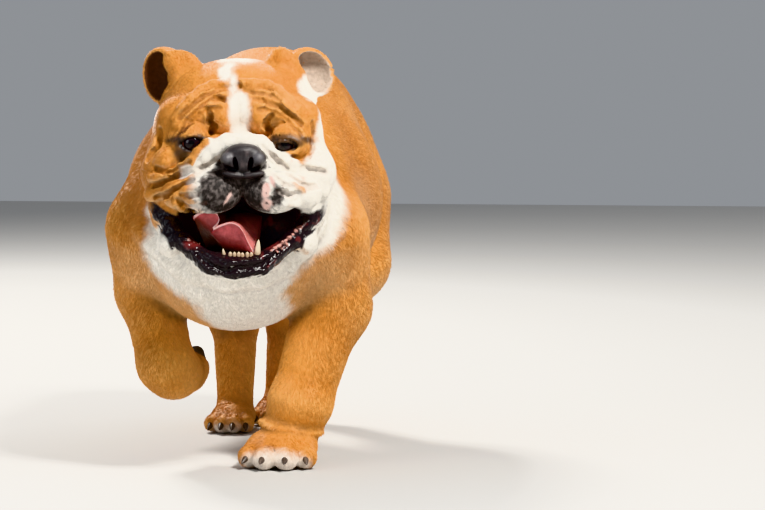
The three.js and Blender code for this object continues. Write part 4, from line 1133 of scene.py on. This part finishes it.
lift = np.radians(DICE.uniform(3, 8, len(roots)))
stray = DICE.random(len(roots)) < STRAY_SHARE
lift = np.where(stray, lift + STRAY_LIFT, lift)
lie = lie_of_coat(roots, root_normals)
across = np.cross(root_normals, lie)
swing = DICE.normal(0, 0.09, len(roots))[:, None]
lie, across = lie * np.cos(swing) + across * np.sin(swing), across * np.cos(swing) - lie * np.sin(swing)
rise = np.minimum(length * np.sin(lift), coat_depth(roots) * 1.1)
tips = roots + lie * length[:, None] + root_normals * rise[:, None]
# A tuft that would run into the skin ahead of it, or hang over a furrow of the face, is shortened,
# and left out where that isn't enough
overhang = np.where(head_space(roots)[:, 1] < -30, 1.0, 9.0)
for _ in range(2):
    height = evaluate(skin_field, tips)
    sunk = (height < 0.15) | (height > overhang)
    length[sunk] *= SHORTENED
    up = root_normals[sunk] * (rise[sunk, None] + 0.3)
    tips[sunk] = roots[sunk] + lie[sunk] * length[sunk, None] + up
clear = (evaluate(skin_field, tips) > -0.4) & (tips[:, 2] > LOWEST_TIP)

# Painted shade at each tuft's root and painted light at its tip, as factors on its colour
ROOT_PAINTED_SHADE, RIDGE_PAINTED_SHADE, TIP_PAINTED_LIGHT = 0.86, 0.97, 1.06
RIDGE_RISE = 0.10  # how far the middle of a tuft stands up, beside its width
tuft_light = DICE.uniform(0.92, 1.08, len(roots))[:, None]
tuft_colour = tuft_colour * tuft_light
half = across * (width / 2)[:, None]
ridge = roots + lie * (length * 0.35)[:, None] + root_normals * (rise * 0.4 + width * RIDGE_RISE)[:, None]
foot = roots - root_normals * ROOT_DEPTH
tuft_points = np.stack([foot - half, foot + half, ridge, tips], 1)
tuft_points[:, :, 2] = np.maximum(tuft_points[:, :, 2], LOWEST_POINT)
TUFT_FACES = np.array([[0, 2, 3], [2, 1, 3], [0, 1, 2], [1, 0, 3]])
TUFT_PATCH = np.array([[-1, -1], [1, -1], [0, 0], [0, 1]]) * MAP_PATCH


def coat_piece(name, picks, region):
    n = len(picks)
    faces = (np.arange(n)[:, None, None] * 4 + TUFT_FACES[None]).reshape(-1, 3)
    # painted shade at the root and painted light at the tip
    tone = np.array([ROOT_PAINTED_SHADE, ROOT_PAINTED_SHADE, RIDGE_PAINTED_SHADE, TIP_PAINTED_LIGHT])
    colours = (tuft_colour[picks][:, None, :] * tone[None, :, None]).reshape(-1, 3)
    piece = new_piece(name, tuft_points[picks].reshape(-1, 3), faces, np.clip(colours, 0, 1), smooth=False)
    place = unwrap(roots[picks], region)[:, None, :] + TUFT_PATCH[None]
    layer = piece.data.uv_layers.new(name="OFBake")
    layer.data.foreach_set("uv", place.reshape(-1, 2)[faces.ravel()].astype(np.float32).ravel())
    return piece


q_roots = head_space(roots)
on_head = (evaluate(lambda p: head(head_space(p)), roots) < evaluate(torso, roots)) & (q_roots[:, 1] < 60)
belly = (roots[:, 1] > -20) & (roots[:, 1] < 250) & (roots[:, 2] > 138)
low = ~on_head & (roots[:, 2] < 150) & ~belly
coats = []
for region, inside in (("head", on_head), ("leg", low), ("body", ~on_head & ~low)):
    picks = np.flatnonzero(inside & clear)
    picks = picks[np.argsort(roots[picks, 1], kind="stable")]
    shares = max(1, -(-len(picks) // MOST_TUFTS))
    for n, part in enumerate(np.array_split(picks, shares)):
        coats.append(coat_piece(f"coat_{region}_{n + 1}", part, region))

# Eyes: a ball with the iris and pupil on its front and a cornea that stands a little proud
IRIS, IRIS_RIM = np.array([0.012, 0.006, 0.008]), np.array([0.004, 0.003, 0.004])
EYE_WHITE, EYE_RED = np.array([0.42, 0.30, 0.27]), np.array([0.30, 0.045, 0.035])
PUPIL_ANGLE, IRIS_ANGLE = 14, 46
GAZE = {-1: (-4, 2), 1: (4, 2)}  # degrees outwards and up


def ring_quads(rings, spokes):
    """Quads between neighbouring rings of points."""
    i, j = np.meshgrid(np.arange(rings - 1), np.arange(spokes), indexing="ij")
    i, j, k = i.ravel(), j.ravel(), (j.ravel() + 1) % spokes
    here, beyond = i * spokes, (i + 1) * spokes
    return np.stack([here + j, beyond + j, beyond + k, here + k], 1)


def ball(rings, spokes):
    """A unit ball about +X, as points and quads."""
    a = np.radians(np.linspace(0.5, 179.5, rings))
    b = np.linspace(0, 2 * pi, spokes, endpoint=False)
    a, b = np.meshgrid(a, b, indexing="ij")
    points = np.stack([np.cos(a), np.sin(a) * np.cos(b), np.sin(a) * np.sin(b)], -1).reshape(-1, 3)
    return points, ring_quads(rings, spokes)


eyes = {}
for side, eye_name in ((1, "left_eye"), (-1, "right_eye")):
    out, up = (radians(v) for v in GAZE[side])
    gaze = np.array([sin(out) * cos(up), -cos(out) * cos(up), sin(up)])
    third = np.cross(gaze, [0, 0, 1])
    third /= np.linalg.norm(third)
    axes = np.stack([gaze, third, np.cross(third, gaze)])
    points, faces = ball(110, 72)
    off = np.degrees(np.arccos(np.clip(points[:, 0], -1, 1)))
    world = points @ axes
    bulge = 1 + 0.035 * ramp(-off, -IRIS_ANGLE, -IRIS_ANGLE + 25)
    place = EYE_AT[side] + world * (EYE_RADIUS * bulge)[:, None]
    streak = noise(np.stack([np.cos(np.arctan2(points[:, 1], points[:, 2])) * 40,
                             np.sin(np.arctan2(points[:, 1], points[:, 2])) * 40, off * 0.3], 1), 4, 21)
    colours = np.tile(EYE_WHITE, (len(points), 1))
    colours = blend(colours, EYE_RED, ramp(-world[:, 2] + 0.2 * noise(place, 2.5, 22), 0.18, 0.5) * 0.8)
    colours = blend(colours, EYE_RED, ramp(side * world[:, 0], 0.25, 0.6) * 0.6)
    iris = ramp(-off, -IRIS_ANGLE - 1.5, -IRIS_ANGLE + 1.5)
    colours = blend(colours, IRIS_RIM, iris)
    colours = blend(colours, IRIS, iris * ramp(-off, -IRIS_ANGLE + 2, -IRIS_ANGLE + 10))
    colours = colours * (1 + 0.45 * streak * iris)[:, None]
    colours = blend(colours, BLACK * 0.3, ramp(-off, -PUPIL_ANGLE - 1.2, -PUPIL_ANGLE + 1.2))
    eyes[side] = new_piece(eye_name + "_ball", from_head(place), faces[:, ::-1], np.clip(colours, 0, 1))
    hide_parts(eye_name)

# Nose: a broad dark pad with round wings, comma-shaped nostrils and a groove down its middle
NOSE_SHAPE = [
    egg("pad", [0, -110, -14.5], [21, 13, 13.5], 0),
    egg("wing", [15, -113.5, -12.5], [7.6, 11, 7.2], 2),
    egg("bridge", [0, -110, -5], [16, 12.5, 7], 5),
    egg("lip of nose", [9, -112, -28], [12, 9, 3.8], 3, [0, -8, 0]),
    cut(egg("nostril", [7.2, -123, -17.5], [2.2, 12, 6.8], 1.2, [0, 10, 0])),
    cut(egg("nostril tail", [13, -122.5, -22.2], [7.5, 10, 2.0], 1.2, [0, -16, 0])),
    cut(limb("groove", [0, -124.5, -6], [0, -123.5, -32], 0.9, 1.3, 2)),
]


def nose_field(q):
    return heap(NOSE_SHAPE, face_place(q), spare=6)


NET = 0.8
NOSE_BLACK = np.array([0.030, 0.026, 0.028])
NOSE_BROWN = np.array([0.10, 0.075, 0.075])
# painted highlight on the nose's wings
NOSE_SHEEN = np.array([0.13, 0.125, 0.135])
nose_axes = [planes(-20, NET, 36), planes(-128, NET, -92), planes(-36, NET, 6)]
nose_points, nose_faces = surface_net(nose_field, nose_axes)
nose_normals = vertex_normals(nose_points, nose_faces)
nose_hollow_shade = np.clip(hollows(nose_points, nose_faces, nose_normals, 6) / 0.5, 0, 1)
nose_colour = np.tile(NOSE_BLACK, (len(nose_points), 1))
nose_colour = blend(nose_colour, NOSE_BROWN, 0.5 * ramp(noise(nose_points, 5, 31), 0.2, 0.9))
nostril = heap([{**mass, "cut": False} for mass in NOSE_SHAPE[4:6]], face_place(nose_points), spare=4)
deep = ramp(-nostril, -1.4, -0.2) * ramp(nose_points[:, 1], -122.5, -120)
# painted highlight on the top of the nose's wing
wing_sheen = ramp(-np.linalg.norm(face_place(nose_points) - [15, -122, -11], axis=1), -8, -3)
nose_colour = blend(nose_colour, NOSE_SHEEN, 0.6 * wing_sheen)
# painted shade in the hollows of the pad and deep inside the nostrils
nose_colour = nose_colour * (1 - 0.7 * nose_hollow_shade)[:, None] * (1 - 0.85 * deep)[:, None]
nose = new_piece("nose_pad", from_head(nose_points), nose_faces, nose_colour)
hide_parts("nose")

# Tongue: a loft across the mouth. Each station is a loop from the back, over the top, round the rim and
# under. The stations run from the right lobe's tip to the left, and give the rim (across, deep, up) and
# the lowest seen point below it.
TONGUE_STATIONS = [
    ((-48, -90, -74.5), (-47.5, -88, -76)),
    ((-40.5, -93, -70), (-42, -86, -80)),
    ((-33, -95, -68.4), (-38, -84, -84.5)),
    ((-26, -97, -70.7), (-34, -84, -88)),
    ((-22.7, -97, -75), (-31.5, -84, -90.5)),
    ((-23.8, -95, -80.7), (-30, -84, -92.5)),
    ((-28.3, -95, -86), (-29, -85, -94)),
    ((-20.5, -99, -83), (-25, -87, -99)),
    ((-11.6, -103, -80.7), (-19, -89, -105)),
    ((-3.8, -105, -83), (-10, -90, -108)),
    ((1.8, -106, -89.5), (-1, -92, -110)),
    ((6.2, -106, -98.4), (5, -96, -110)),
    ((11.8, -105.5, -109), (11.5, -102, -111)),
]
RIM_THICK = 2.0
TONGUE_PINK = np.array([0.50, 0.16, 0.15])
TONGUE_RED = np.array([0.50, 0.09, 0.10])
# painted shade under the tongue
TONGUE_UNDER_SHADE = np.array([0.10, 0.03, 0.022])
TONGUE_RIM = np.array([0.92, 0.52, 0.50])


def smooth_curve(points, count, closed=False):
    """Catmull-Rom points along a chain of places."""
    points = np.asarray(points, float)
    n = len(points)
    t = np.linspace(0, n if closed else n - 1, count, endpoint=not closed)
    i = np.minimum(t.astype(int), n - 1 if closed else n - 2)
    f = (t - i).reshape((-1,) + (1,) * (points.ndim - 1))
    pick = (lambda k: points[k % n]) if closed else (lambda k: points[np.clip(k, 0, n - 1)])
    a, b, c, d = pick(i - 1), pick(i), pick(i + 1), pick(i + 2)
    square = (2 * a - 5 * b + 4 * c - d) * f ** 2
    cube = (3 * b - 3 * c + d - a) * f ** 3
    return 0.5 * (2 * b + (c - a) * f + square + cube)


def loft(loops, across_count, around_count):
    """A closed skin through loops of the same number of places, with its ends closed."""
    rows = smooth_curve(loops, across_count)
    rings = smooth_curve(np.swapaxes(rows, 0, 1), around_count, closed=True).swapaxes(0, 1)
    points = rings.reshape(-1, 3)
    faces = [ring_quads(across_count, around_count)]
    for ring, flip in ((0, 1), (across_count - 1, 0)):
        spot = len(points)
        points = np.concatenate([points, rings[ring].mean(0)[None]])
        j = np.arange(around_count)
        k = (j + 1) % around_count
        ends = [ring * around_count + j, ring * around_count + k]
        hub = np.full_like(j, spot)
        faces.append(np.stack([ends[flip], ends[1 - flip], hub, hub], 1))
    return points, np.concatenate(faces)


tongue_loops = []
for n, (rim_at, low_at) in enumerate(TONGUE_STATIONS):
    s = n / (len(TONGUE_STATIONS) - 1)
    rim_at, low_at = placed_in_head(rim_at), placed_in_head(low_at)
    back_top = np.array([-37 + 62 * s, -46, -70 - 3 * abs(s - 0.5)])
    top = rim_at * 0.55 + back_top * 0.45 + [0, 0, -1.5]
    back_low = np.array([-29 + 50 * s, -50, -108])
    rim_back = rim_at + [0, RIM_THICK, RIM_THICK * 0.35]
    rim_front = rim_at + [0, -RIM_THICK * 0.3, -RIM_THICK * 0.3]
    rim_under = rim_at + [0, RIM_THICK * 0.5, -RIM_THICK * 1.6]
    tongue_loops.append([back_top, top, rim_back, rim_front, rim_under, low_at, back_low])
ACROSS, AROUND = 90, 63
tongue_points, tongue_faces = loft(tongue_loops, ACROSS, AROUND)
place_round = np.append(np.tile(np.linspace(0, 7, AROUND, endpoint=False), ACROSS), [0, 0])
rim_there = ramp(-np.abs(place_round - 2.9), -0.9, -0.45)
under_there = ramp(place_round, 3.4, 4.2) * ramp(-place_round, -6.5, -6)
low_down = ramp(place_round, 4.0, 5.2)
tongue_colour = np.tile(TONGUE_PINK, (len(tongue_points), 1))
tongue_colour = blend(tongue_colour, TONGUE_RED, under_there)
# painted shade low on the tongue's underside
tongue_colour = blend(tongue_colour, TONGUE_UNDER_SHADE, under_there * low_down)
tongue_colour = blend(tongue_colour, TONGUE_RIM, rim_there)
tongue_colour = tongue_colour * (1 + 0.18 * noise(tongue_points, 6, 33))[:, None]
# painted shade towards the back of the mouth
back = ramp(tongue_points[:, 1], -78, -52)
tongue_colour = tongue_colour * (1 - 0.75 * back)[:, None]
tongue_colour = np.clip(tongue_colour, 0, 1)
tongue_piece = new_piece("tongue_skin", from_head(tongue_points), tongue_faces, tongue_colour)
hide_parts("tongue")


def cone(start, end, radius, rings=10, spokes=20, bend=0.0, blunt=0.5):
    """A tapered peg from start to end, with a blunt tip and a bend downwards.

    Its foot is open, because it is inside the toe or the gum. The last two points belong to no quad.
    """
    start, end = np.array(start, float), np.array(end, float)
    along = end - start
    reach = np.linalg.norm(along)
    along /= reach
    side = np.cross(along, [0.3, 0.9, 0.2])
    side /= np.linalg.norm(side)
    third = np.cross(along, side)
    t = np.linspace(0, 1, rings)
    size = radius * np.maximum((1 - t ** (1 + blunt)) ** blunt, 0.02)
    angle = np.linspace(0, 2 * pi, spokes, endpoint=False)
    points = []
    for k in range(rings):
        middle = start + along * reach * t[k] + np.array([0, 0, -bend]) * t[k] ** 2
        points.append(middle + size[k] * (np.cos(angle)[:, None] * side + np.sin(angle)[:, None] * third))
    points = np.concatenate(points + [[start - along * 0.01], [middle + along * 0.05]])
    return points, ring_quads(rings, spokes)[:, [0, 3, 2, 1]]


def joined(parts):
    points, faces, base = [], [], 0
    for p, f in parts:
        points.append(p)
        faces.append(f + base)
        base += len(p)
    return np.concatenate(points), np.concatenate(faces)


# Teeth of the lower jaw: six incisors, and a canine at each side
TEETH_MIDDLE = 5
INCISORS = [-10.5, -6.3, -2.1, 2.1, 6.3, 10.5]
teeth = []
for n, x in enumerate(INCISORS):
    lean = DICE.uniform(-0.6, 0.6)
    x += TEETH_MIDDLE
    teeth.append(cone([x, -104.5, -116], [x + lean, -106, -104 + lean], 2.4, blunt=0.18))
for side, tip, thick in ((-1, -101, 2.8), (1, -92, 4.0)):
    foot_at = [TEETH_MIDDLE + 15 * side, -101, -116]
    teeth.append(cone(foot_at, [TEETH_MIDDLE + 17.5 * side, -103, tip], thick, blunt=0.6))
tooth_points, tooth_faces = joined(teeth)
low_down = ramp(-tooth_points[:, 2], 101, 109)
IVORY, TARTAR = np.array([0.58, 0.49, 0.36]), np.array([0.33, 0.20, 0.12])
tooth_colour = blend(np.tile(IVORY, (len(tooth_points), 1)), TARTAR, low_down * 0.85)
teeth_piece = new_piece("lower_teeth", from_head(tooth_points), tooth_faces, tooth_colour)

# Claws: short, thick and dark, from inside each toe
CLAW_LENGTH = 16.5
CLAW_RADIUS = 3.9
CLAW_BLACK = np.array([0.055, 0.040, 0.032])
CLAW_PALE = np.array([0.17, 0.12, 0.09])
PAW_CLAWS = [
    ("left_forepaw", LEFT_FORELEG, [0, -4, 2], -12),
    ("right_forepaw", RIGHT_FORELEG, [0, 2, -2], 10),
    ("left_hindpaw", LEFT_HINDLEG, [0, -2, 2], -14),
    ("right_hindpaw", RIGHT_HINDLEG, [0, -2, 2], -14),
]
claw_pieces = []
for paw, leg, offset, drop in PAW_CLAWS:
    claws = []
    for toe in [mass for mass in leg if mass["name"] == "toe"]:
        way = np.append((toe["b"] - toe["a"])[:2], drop).astype(float)
        way /= np.linalg.norm(way)
        at = toe["b"] + offset
        bend = -1.5 if drop > 0 else 0.6
        claws.append(cone(at, at + way * CLAW_LENGTH, CLAW_RADIUS, bend=bend, blunt=0.75))
    points, faces = joined(claws)
    pale = ramp(noise(points, 3, 41), -0.2, 0.9) * 0.6
    colours = blend(np.tile(CLAW_BLACK, (len(points), 1)), CLAW_PALE, pale)
    piece = new_piece(paw + "_claws", points, faces, colours)
    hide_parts(*[f"{paw}_claw_{n}" for n in (1, 2, 3, 4)])
    claw_pieces.append(piece)


# Materials
def material(name, rough=0.5, bump=(), specular=0.5, coat=0.0, sheen=0.0, under_skin=0.0,
             tone=0.18, tone_size=0.004, wet_rough=None):
    """A finish whose colour comes from the mesh, varied by noise.

    Each bump is given as its size, its height and its stretch along Y.
    """
    mat = bpy.data.materials.new(name)
    mat.use_nodes = True
    nodes, links = mat.node_tree.nodes, mat.node_tree.links
    shader = nodes["Principled BSDF"]
    attribute = nodes.new("ShaderNodeAttribute")
    attribute.attribute_name = "colour"
    place = nodes.new("ShaderNodeTexCoord")
    speckle = nodes.new("ShaderNodeTexNoise")
    speckle.inputs["Scale"].default_value = 1 / tone_size
    speckle.inputs["Detail"].default_value = 3
    links.new(place.outputs["Object"], speckle.inputs["Vector"])
    span = nodes.new("ShaderNodeMapRange")
    span.inputs["From Min"].default_value = 0.3
    span.inputs["From Max"].default_value = 0.7
    span.inputs["To Min"].default_value = 1 - tone
    span.inputs["To Max"].default_value = 1 + tone
    links.new(speckle.outputs["Fac"], span.inputs["Value"])
    tint = nodes.new("ShaderNodeVectorMath")
    tint.operation = "SCALE"
    links.new(attribute.outputs["Color"], tint.inputs[0])
    links.new(span.outputs["Result"], tint.inputs["Scale"])
    links.new(tint.outputs["Vector"], shader.inputs["Base Color"])
    normal = None
    for size, height, stretch in bump:
        grain = nodes.new("ShaderNodeTexNoise")
        grain.inputs["Scale"].default_value = 1 / size
        grain.inputs["Detail"].default_value = 2
        drawn_out = nodes.new("ShaderNodeMapping")
        drawn_out.inputs["Scale"].default_value = (1, 1 / stretch, 1 / sqrt(stretch))
        links.new(place.outputs["Object"], drawn_out.inputs["Vector"])
        links.new(drawn_out.outputs["Vector"], grain.inputs["Vector"])
        lump = nodes.new("ShaderNodeBump")
        lump.inputs["Distance"].default_value = height
        lump.inputs["Strength"].default_value = 1.0
        links.new(grain.outputs["Fac"], lump.inputs["Height"])
        if normal:
            links.new(normal, lump.inputs["Normal"])
        normal = lump.outputs["Normal"]
    if normal:
        links.new(normal, shader.inputs["Normal"])
    shader.inputs["Roughness"].default_value = rough
    if wet_rough is not None:
        wet = nodes.new("ShaderNodeAttribute")
        wet.attribute_name = "wet"
        mix = nodes.new("ShaderNodeMapRange")
        mix.inputs["To Min"].default_value = rough
        mix.inputs["To Max"].default_value = wet_rough
        links.new(wet.outputs["Fac"], mix.inputs["Value"])
        links.new(mix.outputs["Result"], shader.inputs["Roughness"])
    shader.inputs["Specular IOR Level"].default_value = specular
    shader.inputs["Coat Weight"].default_value = coat
    shader.inputs["Coat Roughness"].default_value = 0.04
    shader.inputs["Sheen Weight"].default_value = sheen
    shader.inputs["Sheen Roughness"].default_value = 0.5
    shader.inputs["Subsurface Weight"].default_value = under_skin
    shader.inputs["Subsurface Radius"].default_value = (0.006, 0.002, 0.001)
    shader.inputs["Subsurface Scale"].default_value = 0.5
    return mat


def finish_with(mat, *pieces):
    for piece in pieces:
        piece.data.materials.append(mat)


SKIN_BUMPS = [(0.0009, 0.00025, 4), (0.006, 0.0004, 2)]
TONGUE_BUMPS = [(0.0008, 0.0003, 1), (0.004, 0.0006, 1)]
finish_with(material("skin", 0.68, SKIN_BUMPS, 0.35, sheen=0.05, wet_rough=0.2), skin)
finish_with(material("coat", 0.5, (), 0.3, sheen=0.05, tone=0.07, tone_size=0.006), *coats)
finish_with(material("eye", 0.06, (), 0.35, coat=0.35, tone=0.1, tone_size=0.001), *eyes.values())
finish_with(material("nose", 0.34, [(0.0011, 0.0006, 1)], 0.5, tone=0.25, tone_size=0.0015), nose)
finish_with(material("tongue", 0.3, TONGUE_BUMPS, 0.5, under_skin=0.2), tongue_piece)
finish_with(material("tooth", 0.22, [(0.003, 0.0002, 1)], 0.5, tone=0.1), teeth_piece)
finish_with(material("claw", 0.38, [(0.0015, 0.0002, 1)], 0.5, tone=0.3, tone_size=0.002), *claw_pieces)

# A plain grey floor, a pale sky, and soft light from a window side, a filling side and behind
FLOOR_HALF = 4.0
floor_mesh = bpy.data.meshes.new("floor")
floor_mesh.from_pydata([(-FLOOR_HALF, -FLOOR_HALF, 0), (FLOOR_HALF, -FLOOR_HALF, 0),
                        (FLOOR_HALF, FLOOR_HALF, 0), (-FLOOR_HALF, FLOOR_HALF, 0)], [], [(0, 1, 2, 3)])
floor = bpy.data.objects.new("floor", floor_mesh)
bpy.context.scene.collection.objects.link(floor)
floor_finish = bpy.data.materials.new("floor")
floor_finish.use_nodes = True
floor_inputs = floor_finish.node_tree.nodes["Principled BSDF"].inputs
floor_inputs["Base Color"].default_value = (0.47, 0.465, 0.455, 1)
floor_inputs["Roughness"].default_value = 0.8
floor_mesh.materials.append(floor_finish)

sky = bpy.data.worlds.new("sky")
sky.use_nodes = True
sky_inputs = sky.node_tree.nodes["Background"].inputs
sky_inputs["Color"].default_value = (0.86, 0.90, 0.96, 1)
sky_inputs["Strength"].default_value = 0.36
bpy.context.scene.world = sky
LAMPS_AIM = Vector((0, 0, 0.22))


def lamp(name, place, size, power, colour):
    light = bpy.data.lights.new(name, "AREA")
    light.shape = "DISK"
    light.size, light.energy, light.color = size, power, colour
    holder = bpy.data.objects.new(name, light)
    holder.location = place
    holder.rotation_mode = "QUATERNION"
    holder.rotation_quaternion = (LAMPS_AIM - Vector(place)).to_track_quat("-Z", "Y")
    bpy.context.scene.collection.objects.link(holder)


lamp("key", (1.3, -1.5, 2.3), 0.5, 135, (1, 0.97, 0.92))
lamp("fill", (-2.0, -1.8, 1.0), 1.6, 16, (0.92, 0.96, 1))
lamp("back", (-1.1, 1.7, 1.9), 0.6, 110, (1, 0.96, 0.9))
bpy.context.scene.view_settings.view_transform = "Khronos PBR Neutral"
